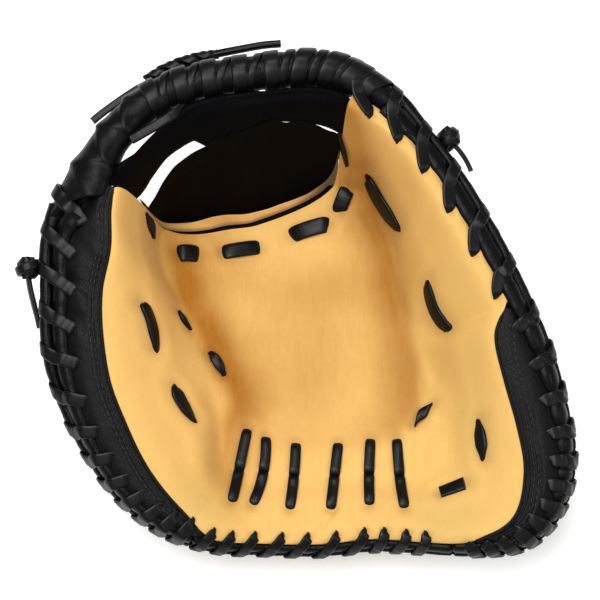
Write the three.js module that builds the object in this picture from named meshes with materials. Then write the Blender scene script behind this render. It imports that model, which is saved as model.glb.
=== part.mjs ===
import * as THREE from "three";

// A softball catcher's mitt for the left hand, lying on its back with the pocket up.
// Millimetres and degrees. X runs from the thumb side to the finger side, Y from the heel
// to the web, Z up out of the pocket. Every leather is placed by an angle and a radius
// about the middle of the pocket: 0 is the finger side, 90 the web, 270 the heel.

// Driving dimensions
const POCKET = { x: 8.9, y: -7.1, floor: 35 }; // middle of the pocket and height of its floor
const GAP = 0.4; // between neighbouring leathers
const LEATHER = 3; // wall of the back and of the black sides
const PALM_EDGE = 5; // rolled edge of the padded palm
const PALM_PAD = 9; // palm padding under the pocket floor
const SIDE_PAD = 6; // extra padding under the thumb and finger pads
const WELT_FLATNESS = 0.77; // thickness of the pair of welts against its width
const LACE_ROOM = 0.6; // between a wound lace and what it is wound round
const LACE = { thick: 1.5 }; // flat rawhide lace
const ROLL = { from: 71, to: 158.5 }; // the padded bar over the web, from finger tip to thumb tip
const TIP = { finger: 80.5, thumb: 151.2 }; // angles where the palm ends at the web
const WRIST = { from: 240, to: 301, cut: 42, hem: 0.4 }; // hand opening of the back, behind the heel
const STRAP = { inner: 58, outer: 95 }; // wrist strap across that opening

// The rim, seen from above, around the pocket: where the welts run (radius, height), how far
// they tip down and outwards, their half width (over the web, the roll's radius), the width of
// the black side wall, how much the crest stands over the edge, and where the crease lies.
const RIM = table(
  ["angle", "radius", "height", "tilt", "welt", "wall", "crest", "crease", "crease_height"],
  [
    [5, 98.5, 79.2, 32, 4.4, 0, 1.5, 50, 38],
    [22, 88, 87, 20, 4.4, 0, 1.5, 47, 39],
    [42, 88, 94, 20, 4.4, 0, 1.5, 55, 42],
    [60, 96, 100, 20, 4.6, 0, 1.5, 68, 47],
    [72, 105, 104, 20, 6.6, 0, 1.5, 78, 52],
    [83, 113, 108, 20, 8.4, 0, 0.5, 78, 52],
    [106, 117.5, 112, 20, 8.6, 0, 0.5, 72, 42],
    [129, 128, 110, 20, 8.6, 0, 0.5, 78, 42],
    [144, 128.5, 105, 20, 8.6, 4, 2, 94, 52],
    [155, 130, 100, 20, 7.6, 11, 4, 84, 52],
    [165, 132, 94.5, 18, 4.8, 22, 6, 70, 46],
    [176, 128.5, 86, 18, 4.4, 18, 6, 61, 42],
    [187, 128.7, 78, 27, 4.4, 18.3, 6, 55, 40],
    [199, 126.6, 67, 55, 4.4, 18, 6, 52, 38],
    [210, 124.6, 58.6, 72, 4.4, 17.3, 5, 52, 37],
    [222, 123.2, 50.9, 80, 4.4, 14, 4, 60, 36],
    [234, 120.6, 44.9, 82, 4.2, 8.3, 3, 74, 36],
    [245, 116.3, 40.2, 80, 3.6, 0, 2, 78, 36],
    [256, 109.4, 36.9, 78, 3.2, 0, 2, 74, 36],
    [271, 106.5, 36, 75, 3.2, 0, 2, 72, 36],
    [287, 109, 37, 75, 3.2, 0, 2, 74, 36],
    [297, 119.3, 39.7, 79, 3.2, 0, 2, 80, 36],
    [305, 131.4, 41.9, 82, 3.6, 1.4, 3, 84, 36],
    [314, 144.5, 45.5, 80, 4.2, 8.4, 4, 82, 37],
    [323, 145.4, 49.6, 72, 4.4, 17.7, 5, 74, 37],
    [332, 137.4, 54.7, 60, 4.4, 23.9, 6, 65, 37],
    [341, 124.3, 60.8, 58, 4.4, 23.7, 6, 60, 37],
    [352, 111.2, 69.6, 48, 4.4, 18.3, 5, 54, 38],
  ],
);

// Towards the web the palm stops at a slit, and a tan binding covers its edge.
const SLIT = table(
  ["angle", "radius"],
  [
    [80.5, 101], [81.3, 96], [82.1, 85], [83.2, 79.5], [84.6, 77.3], [88.7, 73.4], [95, 70.2], [101.7, 68.8],
    [108, 68.4], [115.1, 69], [127.1, 74.5], [135.2, 79.5], [141.3, 87], [145.5, 98],
    [148, 104.5], [151.2, 112],
  ],
);
const CROTCH = table(
  ["angle", "radius"],
  [
    [80.5, 102], [81.3, 97.4], [82.1, 88.5], [83.2, 84.2], [84.6, 82], [88.7, 78.8], [95, 75.7],
    [101.7, 74.5], [108, 74.2], [115.1, 75.2], [127.1, 81.2], [135.2, 87], [141.3, 94],
    [145.5, 99.5], [148, 104.5], [151.2, 112],
  ],
);

// The web hangs between the crotch and the roll. Distances inside the roll's middle line.
const WEB = table(
  ["angle", "panel_top", "band_low", "band_top"],
  [
    [82.3, 22.6, 22, 12.5], [94, 23.4, 22.8, 12.5], [103, 23.6, 23, 13], [113, 26.4, 25.8, 13],
    [123.4, 28.8, 28.2, 13.2], [126, 28.9, 25.3, 13.2], [130, 28.8, 25.1, 13.4],
    [135, 28, 24.2, 13.4], [141, 27.6, 23.8, 13.2], [147.7, 28, 24.5, 13],
  ],
);

// Laces that show on the palm, in mm from the middle of the pocket, with a bend or without.
const PALM_LACES = table(
  ["name", "width", "x1", "y1", "x2", "y2", "x3", "y3"],
  [
    ["crotch_lace_1", 8, -69, 44, -65, 44.5, -60, 45],
    ["crotch_lace_2", 7, -47, 47, -38, 49, -29, 51],
    ["crotch_lace_3", 7.5, -12, 57, -3, 59, 6, 61],
    ["crotch_lace_4", 7, 12, 68, 14, 72.5, 16, 77],
    ["thumb_lace_1", 4.5, -85, 6, -81, 0, -78, -14],
    ["thumb_lace_2", 3.5, -69, 13, -66, 9, -63, 5],
    ["thumb_lace_3", 5, -69, -30, -66, -37, -60, -44],
    ["thumb_lace_4", 4.5, -53, -6, -49.5, -11, -46, -17],
    ["finger_lace_1", 6, 26, 77, 31, 68, 41, 53],
    ["finger_lace_2", 5, 55, 23, 58, 11, 66, 0],
    ["finger_lace_3", 4.5, 49, -43, 53, -37, 58, -32],
    ["finger_lace_4", 5.5, 79, -46, 80, -56, 81, -65],
    ["finger_lace_5", 7, 61, -79, 66, -77.5, 72, -76],
    ["heel_lace_1", 4.7, -34, -45, -38, -66, -41, -84],
    ["heel_lace_2", 4.7, -25, -49, -26, -67, -31, -85],
    ["heel_lace_3", 4.7, -10, -52, -11, -69, -13, -87],
    ["heel_lace_4", 4.7, 11, -52, 9, -69, 7, -87],
    ["heel_lace_5", 4.7, 27, -50, 26, -68, 26, -85],
    ["heel_lace_6", 4.7, 40, -50, 41, -69, 43, -87],
  ],
);

// Whip laces: where each runs along the rim and how far apart its turns are.
const RIM_LACES = table(
  ["name", "from", "to", "pitch", "width", "facets", "room"],
  [
    ["rim_lace_thumb", 161, 238.5, 16.5, 5, 8, LACE_ROOM],
    ["rim_lace_heel", 240.5, 300.5, 13.5, 4.5, 8, LACE_ROOM],
    ["rim_lace_finger", 302.5, 429, 18.5, 5, 8, LACE_ROOM],
    ["roll_lace", 72, 157.5, 17, 8, 10, 0.9],
  ],
);
const RIM_WELTS = table(
  ["name", "from", "to"],
  [
    ["rim_welt_thumb", 158.7, 239.5],
    ["rim_welt_heel", 239.7, 301.5],
    ["rim_welt_finger", 301.7, 430.8],
  ],
);

// Lace knots outside the rim, each with its cut end lying along the rim.
const KNOTS = table(
  ["name", "angle", "ball", "end_angle", "end_share", "rise"],
  [
    ["rim_knot_finger", 53.2, 5.6, 40.5, 0.34, -4],
    ["rim_knot_thumb", 171.6, 5.2, 183, 0.34, -4],
    ["roll_knot", 126.5, 3.4, 114, 0.75, 3],
  ],
);

// The long lace end at the roll's knot: round section, and its route beyond the wound lace.
const ROLL_TAIL = { name: "roll_tail", diameter: 3.6, sides: 8 };
const ROLL_TAIL_ROUTE = table(
  ["angle", "out", "up"],
  [
    [113.7, 2.9, 3], [111, 2.9, 3.6], [107.5, 3, 4.2], [104, 3.2, 4.6], [101, 3.1, 4.8], [97.6, 2.6, 4.8],
  ],
);

const COLOUR = { cream: 0xe9bd70, black: 0x17171a, lace: 0x101012, tan: 0xa9803f };

/** Rows as objects with the named columns. */
function table(columns, rows) {
  return rows.map((row) => Object.fromEntries(columns.map((name, i) => [name, row[i]])));
}

const radians = (degrees) => (degrees * Math.PI) / 180;
const wrap = (degrees) => ((degrees % 360) + 360) % 360;
const mix = (a, b, t) => a + (b - a) * t;
const clamp = (value, low, high) => Math.min(Math.max(value, low), high);

/** Cubic Hermite value between two knots, h apart, with slopes m0 and m1. */
function hermite(t, h, y0, y1, m0, m1) {
  const t2 = t * t;
  const t3 = t2 * t;
  const bend = (t3 - 2 * t2 + t) * h * m0 + (t3 - t2) * h * m1;
  return (2 * t3 - 3 * t2 + 1) * y0 + (3 * t2 - 2 * t3) * y1 + bend;
}

/** Smooth curve round the full circle through one column of the rim table. */
function aroundRim(column) {
  const n = RIM.length;
  const angle = (i) => RIM[((i % n) + n) % n].angle + 360 * Math.floor(i / n);
  const value = (i) => RIM[((i % n) + n) % n][column];
  const slope = (i) => {
    const before = angle(i) - angle(i - 1);
    const after = angle(i + 1) - angle(i);
    const rise = (value(i) - value(i - 1)) / before;
    return (rise * after + ((value(i + 1) - value(i)) / after) * before) / (before + after);
  };
  return (at) => {
    let q = wrap(at);
    if (q < RIM[0].angle) q += 360;
    let i = n - 1;
    while (RIM[i].angle > q) i -= 1;
    const h = angle(i + 1) - angle(i);
    return hermite((q - angle(i)) / h, h, value(i), value(i + 1), slope(i), slope(i + 1));
  };
}

/** Straight lines between the rows of a table, held at its ends. */
function between(rows, column) {
  return (at) => {
    const last = rows.length - 1;
    if (at <= rows[0].angle) return rows[0][column];
    if (at >= rows[last].angle) return rows[last][column];
    const i = rows.findIndex((row) => row.angle > at) - 1;
    const t = (at - rows[i].angle) / (rows[i + 1].angle - rows[i].angle);
    return mix(rows[i][column], rows[i + 1][column], t);
  };
}

/** Monotone cubic through knots xs, ys, level at its start and with the last chord's slope at its end. */
function monotone(xs, ys, x) {
  const n = xs.length - 1;
  const h = xs.slice(1).map((value, i) => value - xs[i]);
  const d = h.map((step, i) => (ys[i + 1] - ys[i]) / step);
  const slope = (i) => {
    if (i === 0) return 0;
    if (i === n) return d[n - 1];
    if (d[i - 1] * d[i] <= 0) return 0;
    const w1 = 2 * h[i] + h[i - 1];
    const w2 = h[i] + 2 * h[i - 1];
    return (w1 + w2) / (w1 / d[i - 1] + w2 / d[i]);
  };
  let i = 0;
  while (i < n - 1 && x > xs[i + 1]) i += 1;
  return hermite((x - xs[i]) / h[i], h[i], ys[i], ys[i + 1], slope(i), slope(i + 1));
}

const rim = Object.fromEntries(Object.keys(RIM[0]).map((column) => [column, aroundRim(column)]));
const slitRadius = between(SLIT, "radius");
const crotchRadius = between(CROTCH, "radius");
const inWeb = (angle) => wrap(angle) >= TIP.finger && wrap(angle) <= TIP.thumb;

/** How far a lace wound round the rim reaches from the rim's middle line. */
const laceReach = (half) => half + LACE_ROOM + LACE.thick;

/** A step along a radius against one straight across the rim: over 1 where the rim runs slantwise. */
function slant(angle) {
  const perRadian = ((rim.radius(angle + 1) - rim.radius(angle - 1)) / 2) * (180 / Math.PI);
  return Math.hypot(1, perRadian / rim.radius(angle));
}

/** Outer edge of the front leather: its radius and height, just inside the wound lace. */
function frontEdge(angle) {
  const tilt = radians(rim.tilt(angle));
  const lip = laceReach(rim.welt(angle)) + 1;
  const radius = rim.radius(angle) - lip * Math.cos(tilt) * slant(angle);
  return { radius, height: rim.height(angle) + lip * Math.sin(tilt), tilt };
}

/** Half thickness of the rim: round over the web, flatter where it is a pair of welts. */
function rimThrough(angle) {
  const overWeb = clamp((angle - ROLL.from + 4) / 8, 0, 1) * clamp((ROLL.to + 4 - angle) / 8, 0, 1);
  return rim.welt(angle) * mix(WELT_FLATNESS, 1, overWeb);
}

/** Width of the black side wall there, never below nothing. */
const wallWidth = (angle) => Math.max(rim.wall(angle), 0);

/** Height of the mitt's front: flat pocket floor, crease, steep pad, crest, then the side wall. */
function front(angle, radius) {
  const edge = frontEdge(angle);
  const shoulder = Math.max(rim.wall(angle), 5);
  const crest = edge.height + rim.crest(angle);
  const crestAt = edge.radius - shoulder;
  const crease = rim.crease(angle);
  const creaseHeight = rim.crease_height(angle);
  const floor = POCKET.floor;
  return monotone(
    [0, 0.55 * crease, crease, (crease + crestAt) / 2, crestAt, crestAt + 0.6 * shoulder, edge.radius],
    [
      floor, mix(floor, creaseHeight, 0.35), creaseHeight, mix(creaseHeight, crest, 0.6), crest,
      edge.height + 0.7 * rim.crest(angle), edge.height,
    ],
    radius,
  );
}

/** A point by angle, radius and height. */
function polar(angle, radius, height) {
  const a = radians(angle);
  return new THREE.Vector3(POCKET.x + radius * Math.cos(a), POCKET.y + radius * Math.sin(a), height);
}

const pocketMiddle = (height) => new THREE.Vector3(POCKET.x, POCKET.y, height);

/** Where the cream palm ends: the slit at the web, the piped seam on the sides, the lace elsewhere. */
function palmRadius(angle) {
  return inWeb(angle) ? slitRadius(wrap(angle)) : frontEdge(angle).radius - wallWidth(angle);
}

/** A body whose faces point outwards, with a node's name and a leather's colour. */
function piece(name, vertices, faces, colour, roughness) {
  const geometry = new THREE.BufferGeometry();
  const positions = vertices.flatMap((v) => v.toArray());
  geometry.setAttribute("position", new THREE.Float32BufferAttribute(positions, 3));
  const volume = faces.reduce((sum, [a, b, c]) => {
    const cross = new THREE.Vector3().crossVectors(vertices[b], vertices[c]);
    return sum + vertices[a].dot(cross);
  }, 0);
  geometry.setIndex(faces.flatMap(([a, b, c]) => (volume > 0 ? [a, b, c] : [a, c, b])));
  geometry.computeVertexNormals();
  const material = new THREE.MeshStandardMaterial({ color: colour, roughness, metalness: 0 });
  const mesh = new THREE.Mesh(geometry, material);
  mesh.name = name;
  return mesh;
}

/** Faces that join ring after ring of the same count; each ring closes on itself. */
function ringFaces(count, rings, first = 0) {
  const faces = [];
  for (let k = 0; k < rings - 1; k += 1) {
    for (let i = 0; i < count; i += 1) {
      const j = (i + 1) % count;
      const a = first + k * count;
      const b = a + count;
      faces.push([a + i, a + j, b + j], [a + i, b + j, b + i]);
    }
  }
  return faces;
}

/** A closed skin: a pole, rings round it, and a pole again. */
function dome(name, top, rings, bottom, colour, roughness) {
  const count = rings[0].length;
  const vertices = [top, ...rings.flat(), bottom];
  const last = vertices.length - 1;
  const faces = ringFaces(count, rings.length, 1);
  for (let i = 0; i < count; i += 1) {
    const j = (i + 1) % count;
    faces.push([0, 1 + j, 1 + i], [last, last - count + i, last - count + j]);
  }
  return piece(name, vertices, faces, colour, roughness);
}

/** A closed bar through cross-sections that follow each other, with a point at the middle of each end. */
function bar(name, sections, colour, roughness) {
  const middle = (ring) => ring.reduce((sum, v) => sum.add(v), new THREE.Vector3()).divideScalar(ring.length);
  return dome(name, middle(sections[0]), sections, middle(sections[sections.length - 1]), colour, roughness);
}

/** A closed sheet with thickness: two grids of the same size, joined round their borders. */
function sheet(name, upper, lower, colour, roughness) {
  const rows = upper.length;
  const columns = upper[0].length;
  const vertices = [...upper.flat(), ...lower.flat()];
  const faces = [];
  const quad = (a, b, c, d) => faces.push([a, b, c], [a, c, d]);
  const up = (i, j) => i * columns + j;
  const low = (i, j) => rows * columns + i * columns + j;
  for (let i = 0; i < rows - 1; i += 1) {
    for (let j = 0; j < columns - 1; j += 1) {
      quad(up(i, j), up(i + 1, j), up(i + 1, j + 1), up(i, j + 1));
      quad(low(i, j), low(i, j + 1), low(i + 1, j + 1), low(i + 1, j));
    }
    quad(up(i, 0), low(i, 0), low(i + 1, 0), up(i + 1, 0));
    quad(up(i, columns - 1), up(i + 1, columns - 1), low(i + 1, columns - 1), low(i, columns - 1));
  }
  for (let j = 0; j < columns - 1; j += 1) {
    quad(up(0, j), up(0, j + 1), low(0, j + 1), low(0, j));
    quad(up(rows - 1, j), low(rows - 1, j), low(rows - 1, j + 1), up(rows - 1, j + 1));
  }
  return piece(name, vertices, faces, colour, roughness);
}

/** Angles from one to another in equal steps no longer than the given one. */
function steps(from, to, longest) {
  const count = Math.ceil((to - from) / longest);
  return Array.from({ length: count + 1 }, (_, i) => mix(from, to, i / count));
}

/** Frame on the rim: middle of the welts, direction along, outwards and down, and up across them. */
function rimFrame(angle) {
  const at = (a) => polar(a, rim.radius(a), rim.height(a));
  const along = at(angle + 0.5).sub(at(angle - 0.5)).normalize();
  const level = new THREE.Vector3(along.y, -along.x, 0).normalize();
  const tilt = radians(rim.tilt(angle));
  const out = level.multiplyScalar(Math.cos(tilt)).add(new THREE.Vector3(0, 0, -Math.sin(tilt)));
  out.addScaledVector(along, -out.dot(along)).normalize();
  const up = new THREE.Vector3().crossVectors(out, along).normalize();
  return { middle: at(angle), along, out, up };
}

/** A point by its distances outwards and up from the middle of a rim frame. */
function onRim(frame, out, up) {
  return frame.middle.clone().addScaledVector(frame.out, out).addScaledVector(frame.up, up);
}

/** An oval ring of points in the plane of a rim frame. */
function oval(frame, across, through, count) {
  return Array.from({ length: count }, (_, i) => {
    const a = (2 * Math.PI * (i + 0.5)) / count;
    return onRim(frame, across * Math.cos(a), through * Math.sin(a));
  });
}

/** A flat lace wound round the rim or the roll: its turns are evenly spaced along the curve. */
function wound({ name, from, to, pitch, width, facets, room }) {
  const fine = steps(from, to, 1);
  const length = [0];
  for (let i = 1; i < fine.length; i += 1) {
    length.push(length[i - 1] + rimFrame(fine[i]).middle.distanceTo(rimFrame(fine[i - 1]).middle));
  }
  const total = length[length.length - 1];
  const count = Math.round((total / pitch) * facets);
  const angleAt = (distance) => {
    let i = 0;
    while (i < fine.length - 2 && length[i + 1] < distance) i += 1;
    return mix(fine[i], fine[i + 1], (distance - length[i]) / (length[i + 1] - length[i]));
  };
  const centre = (k) => {
    const angle = angleAt(clamp((total * k) / count, 0, total));
    const frame = rimFrame(angle);
    const turn = (2 * Math.PI * (k + 0.5)) / facets;
    const a = rim.welt(angle) + room + LACE.thick / 2;
    const b = rimThrough(angle) + room + LACE.thick / 2;
    const point = onRim(frame, a * Math.cos(turn), b * Math.sin(turn));
    const outward = onRim(frame, b * Math.cos(turn), a * Math.sin(turn)).sub(frame.middle).normalize();
    return { point, outward };
  };
  const sections = [];
  for (let k = 0; k <= count; k += 1) {
    const { point, outward } = centre(k);
    const heading = centre(Math.min(k + 1, count)).point.sub(centre(Math.max(k - 1, 0)).point).normalize();
    const side = new THREE.Vector3().crossVectors(heading, outward).normalize();
    const normal = new THREE.Vector3().crossVectors(side, heading).normalize();
    side.multiplyScalar(width / 2);
    normal.multiplyScalar(LACE.thick / 2);
    const corner = (s, n) => point.clone().addScaledVector(side, s).addScaledVector(normal, n);
    sections.push([corner(-1, -1), corner(1, -1), corner(1, 1), corner(-1, 1)]);
  }
  return bar(name, sections, COLOUR.lace, 0.55);
}

// Angles at which the palm, its binding and the back have their sections: close at the two tips.
const BODY_ANGLES = [
  ...SLIT.map((row) => row.angle), 121, 138.4, ...steps(152.4, 234.6, 5.9),
  WRIST.from, WRIST.from + WRIST.hem, ...steps(243.6, 296, 6.6), WRIST.to - WRIST.hem, WRIST.to,
  ...steps(304.6, 361, 5.2), ...steps(366, 437.5, 6.2),
].sort((a, b) => a - b);

// Rings under the palm, as shares of the way to its edge.
const UNDER_SHARES = [0.9, 0.74, 0.54, 0.3];

/** Thickness of the palm's padding: more under the thumb and finger pads than at the heel. */
function palmPad(angle, share) {
  const side = 1 - 0.5 * Math.max(0, -Math.sin(radians(angle)));
  return PALM_PAD + SIDE_PAD * side * Math.exp(-(((share - 0.72) / 0.12) ** 2));
}

/** The padded palm: cream leather over padding, from the pocket floor to its edge. */
function palm() {
  const shares = [0.2, 0.36, 0.48, 0.58, 0.68, 0.77, 0.85, 0.92, 0.97, 1];
  const top = shares.map((share) => BODY_ANGLES.map((angle) => {
    const radius = share * palmRadius(angle);
    return polar(angle, radius, front(angle, radius));
  }));
  const edge = BODY_ANGLES.map((angle) => {
    const radius = palmRadius(angle);
    const lean = inWeb(angle) ? 0 : frontEdge(angle).tilt * clamp(1 - wallWidth(angle) / 6, 0, 1);
    const height = front(angle, radius) - PALM_EDGE * Math.cos(lean);
    return polar(angle, radius - PALM_EDGE * Math.sin(lean), height);
  });
  const bottom = UNDER_SHARES.map((share) => BODY_ANGLES.map((angle) => {
    const radius = share * palmRadius(angle);
    return polar(angle, radius, front(angle, radius) - palmPad(angle, share));
  }));
  const rings = [...top, edge, ...bottom];
  const under = pocketMiddle(POCKET.floor - PALM_PAD);
  return dome("palm", pocketMiddle(POCKET.floor), rings, under, COLOUR.cream, 0.7);
}

/** The point on the other face of a leather that leans outwards, up when the thickness is positive. */
function inside(point, angle, lean, thickness) {
  const a = radians(angle);
  const level = -Math.abs(thickness) * Math.sin(lean);
  const step = new THREE.Vector3(level * Math.cos(a), level * Math.sin(a), thickness * Math.cos(lean));
  return point.clone().add(step);
}

/** Black leather between the piped seam and the rim, as a wall that rolls over outwards. */
function sideWall(name, from, to) {
  const angles = BODY_ANGLES.filter((angle) => angle >= from && angle <= to);
  const shares = [0, 0.35, 0.7, 1];
  const upper = angles.map((angle) => shares.map((share) => {
    const radius = mix(palmRadius(angle) + GAP, frontEdge(angle).radius, share);
    return polar(angle, radius, front(angle, radius));
  }));
  const lower = angles.map((angle, i) => shares.map((share, j) => {
    const lean = frontEdge(angle).tilt * share;
    return inside(upper[i][j], angle, lean, -LEATHER);
  }));
  return sheet(name, upper, lower, COLOUR.black, 0.55);
}

/** Outer edge of the back leather: under the welts, under the binding at the web, cut back at the wrist. */
function backEdge(angle) {
  const a = wrap(angle);
  if (inWeb(a)) {
    const slit = slitRadius(a);
    const inner = UNDER_SHARES[0] * slit;
    const fall = front(a, slit) - PALM_EDGE - (front(a, inner) - palmPad(a, UNDER_SHARES[0]));
    const height = front(a, slit) - PALM_EDGE - (fall * LEATHER) / (slit - inner) - 2;
    return { radius: crotchRadius(a), height };
  }
  const tilt = radians(rim.tilt(a));
  const drop = laceReach(rimThrough(a)) + 1.4;
  const out = (2.5 * Math.cos(tilt) - drop * Math.sin(tilt)) * slant(a);
  const up = -2.5 * Math.sin(tilt) - drop * Math.cos(tilt);
  return { radius: rim.radius(a) + out, height: rim.height(a) + up };
}

// The back lies flat out to this share of the way to its edge, then follows this much of a quarter oval.
const FLAT_SHARE = 0.56;
const BACK_ROUND = 0.985;

/** Height of the outside of the back: flat where it rests, then rising like an egg to its edge. */
function backHeight(angle, radius) {
  const edge = backEdge(angle);
  const flat = FLAT_SHARE * edge.radius;
  const t = clamp((radius - flat) / (edge.radius - flat), 0, 1);
  const rise = (share) => 1 - Math.sqrt(1 - BACK_ROUND * share * share);
  return (edge.height * rise(t)) / rise(1);
}

const inWrist = (angle) => wrap(angle) > WRIST.from && wrap(angle) < WRIST.to;

/** The back: black leather round the hand, open at the wrist. */
function backShell() {
  const shares = [0.3, FLAT_SHARE, 0.74, 0.87, 0.95, 1];
  const reach = (angle) => (inWrist(angle) ? WRIST.cut : backEdge(angle).radius);
  const outer = shares.map((share) => BODY_ANGLES.map((angle) => {
    const radius = share * reach(angle);
    return polar(angle, radius, backHeight(angle, radius));
  }));
  const inner = shares.map((share, k) => BODY_ANGLES.map((angle, i) => {
    const curved = clamp((share - FLAT_SHARE) / (1 - FLAT_SHARE), 0, 1);
    const lean = inWrist(angle) ? 0 : radians(75) * curved ** 1.5;
    return inside(outer[k][i], angle, lean, LEATHER);
  }));
  const rings = [...outer, ...inner.reverse()];
  return dome("back_shell", pocketMiddle(0), rings, pocketMiddle(LEATHER), COLOUR.black, 0.55);
}

/** The strap over the back of the wrist, bridging the opening. */
function wristStrap() {
  const angles = steps(WRIST.from + 2 * WRIST.hem, WRIST.to - 2 * WRIST.hem, 6);
  const radii = steps(STRAP.inner, STRAP.outer, 13);
  const outer = angles.map((angle) => radii.map((radius) => polar(angle, radius, backHeight(angle, radius))));
  const inner = outer.map((row) => row.map((point) => point.clone().setZ(point.z + LEATHER)));
  return sheet("wrist_strap", inner, outer, COLOUR.black, 0.55);
}

/** The tan binding rolled over the palm's edge at the web. */
function crotchBinding() {
  const angles = BODY_ANGLES.filter((angle) => angle > 84 && angle < 142);
  const shares = [0, 0.5, 1];
  const at = (angle, share) => mix(slitRadius(angle) + 1, crotchRadius(angle), share);
  const swell = (share) => 1.2 * Math.sin(Math.PI * share);
  const upper = angles.map((angle) => shares.map((share) => {
    const radius = at(angle, share);
    return polar(angle, radius, front(angle, radius) + swell(share));
  }));
  const lower = upper.map((row) => row.map((point) => point.clone().setZ(point.z - PALM_EDGE - 1)));
  return sheet("crotch_binding", upper, lower, COLOUR.tan, 0.75);
}

/** The big black panel of the web, from the binding upwards, bulging away from the pocket. */
function webPanel() {
  const angles = steps(82.6, 144.6, 5);
  const shares = [0, 0.25, 0.5, 0.75, 1];
  const top = between(WEB, "panel_top");
  const upper = angles.map((angle) => shares.map((share) => {
    const low = crotchRadius(angle) + GAP;
    const high = Math.max(rim.radius(angle) - top(angle), low + 1);
    const radius = mix(low, high, share);
    return polar(angle, radius, front(angle, radius) - 2.5 * (1 - share) - 3 * Math.sin(Math.PI * share));
  }));
  const lower = upper.map((row) => row.map((point) => point.clone().setZ(point.z - LEATHER)));
  return sheet("web_panel", upper, lower, COLOUR.black, 0.6);
}

/** The curved black band between the web panel and the roll, from tip to tip. */
function webBand() {
  const angles = [...WEB.map((row) => row.angle), 88, 98.5, 108, 118, 138, 145].sort((a, b) => a - b);
  const low = between(WEB, "band_low");
  const high = between(WEB, "band_top");
  const upper = angles.map((angle) => [0, 0.5, 1].map((share) => {
    const radius = rim.radius(angle) - mix(low(angle), high(angle), share);
    return polar(angle, radius, front(angle, radius) + 1.2 * Math.sin(Math.PI * share));
  }));
  const lower = upper.map((row) => row.map((point) => point.clone().setZ(point.z - LEATHER)));
  return sheet("web_band", upper, lower, COLOUR.black, 0.6);
}

/** A bar along the rim: the roll over the web, or one stretch of the welts. */
function rimBar({ name, from, to }, facets, longest) {
  const sections = steps(from, to, longest).map((angle) => (
    oval(rimFrame(angle), rim.welt(angle), rimThrough(angle), facets)
  ));
  return bar(name, sections, COLOUR.black, 0.5);
}

/** A knot outside the rim, drawn out into its cut end. */
function knot({ name, angle, ball, end_angle: endAngle, end_share: end, rise }) {
  const profile = table(
    ["share", "radius"],
    [
      [0, 0.35], [0.06, 0.85], [0.16, 1], [0.27, mix(0.8, 1, end)], [0.38, mix(end, 1, 0.1)],
      [0.6, end * 1.06], [0.85, end], [1, end * 0.9],
    ],
  );
  const sections = profile.map(({ share, radius }) => {
    const at = mix(angle, endAngle, share);
    const frame = rimFrame(at);
    const size = ball * radius;
    frame.middle = onRim(frame, laceReach(rim.welt(at)) + GAP + Math.max(size, 2), rise * share);
    return oval(frame, size, size, 8);
  });
  return bar(name, sections, COLOUR.lace, 0.55);
}

/** The lace's long cut end, beyond the roll's knot. */
function rollTail() {
  const points = ROLL_TAIL_ROUTE.map(({ angle, out, up }) => (
    onRim(rimFrame(angle), laceReach(rim.welt(angle)) + out, up)
  ));
  const ring = new THREE.Shape(Array.from({ length: ROLL_TAIL.sides }, (_, i) => {
    const a = (2 * Math.PI * i) / ROLL_TAIL.sides;
    return new THREE.Vector2(Math.cos(a), Math.sin(a)).multiplyScalar(ROLL_TAIL.diameter / 2);
  }));
  const route = new THREE.CatmullRomCurve3(points);
  const geometry = new THREE.ExtrudeGeometry(ring, { steps: 6, extrudePath: route });
  const material = new THREE.MeshStandardMaterial({ color: COLOUR.lace, roughness: 0.55 });
  const mesh = new THREE.Mesh(geometry, material);
  mesh.name = ROLL_TAIL.name;
  return mesh;
}

/** Flat lace laid on the palm between two holes, its ends dipping into them. */
function palmLace(row, ground) {
  const curve = new THREE.QuadraticBezierCurve3(
    new THREE.Vector3(row.x1, row.y1, 0),
    new THREE.Vector3(2 * row.x2 - (row.x1 + row.x3) / 2, 2 * row.y2 - (row.y1 + row.y3) / 2, 0),
    new THREE.Vector3(row.x3, row.y3, 0),
  );
  const length = curve.getLength();
  const count = Math.max(3, Math.round(length / 6));
  const lift = (share) => 0.5 + LACE.thick * (0.55 + 0.45 * Math.sin(Math.PI * share));
  const grid = Array.from({ length: count + 1 }, (_, i) => {
    const share = i / count;
    const point = curve.getPoint(share);
    const along = curve.getTangent(share);
    return [-0.5, 0, 0.5].map((side) => {
      const x = POCKET.x + point.x - along.y * side * row.width;
      const y = POCKET.y + point.y + along.x * side * row.width;
      return { x, y, share };
    });
  });
  const point = ({ x, y, share }, height) => new THREE.Vector3(x, y, ground(x, y) + height(share));
  const laid = (height) => grid.map((line) => line.map((place) => point(place, height)));
  return sheet(row.name, laid(lift), laid(() => 0.5), COLOUR.lace, 0.55);
}

/** Height of a mesh straight below a point. */
function heightOf(mesh) {
  const ray = new THREE.Raycaster();
  mesh.updateMatrixWorld();
  return (x, y) => {
    ray.set(new THREE.Vector3(x, y, 500), new THREE.Vector3(0, 0, -1));
    return ray.intersectObject(mesh)[0].point.z;
  };
}

const mitt = new THREE.Group();
const palmMesh = palm();
mitt.add(palmMesh);
mitt.add(sideWall("side_wall_thumb", 148, 240));
mitt.add(sideWall("side_wall_finger", 309, 361));
mitt.add(backShell());
mitt.add(wristStrap());
mitt.add(crotchBinding());
mitt.add(webPanel());
mitt.add(webBand());
mitt.add(rimBar({ name: "web_roll", ...ROLL }, 10, 3.4));
RIM_WELTS.forEach((row) => mitt.add(rimBar(row, 8, 3.6)));
RIM_LACES.forEach((row) => mitt.add(wound(row)));
KNOTS.forEach((row) => mitt.add(knot(row)));
mitt.add(rollTail());
const ground = heightOf(palmMesh);
PALM_LACES.forEach((row) => mitt.add(palmLace(row, ground)));

export default mitt;
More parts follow.
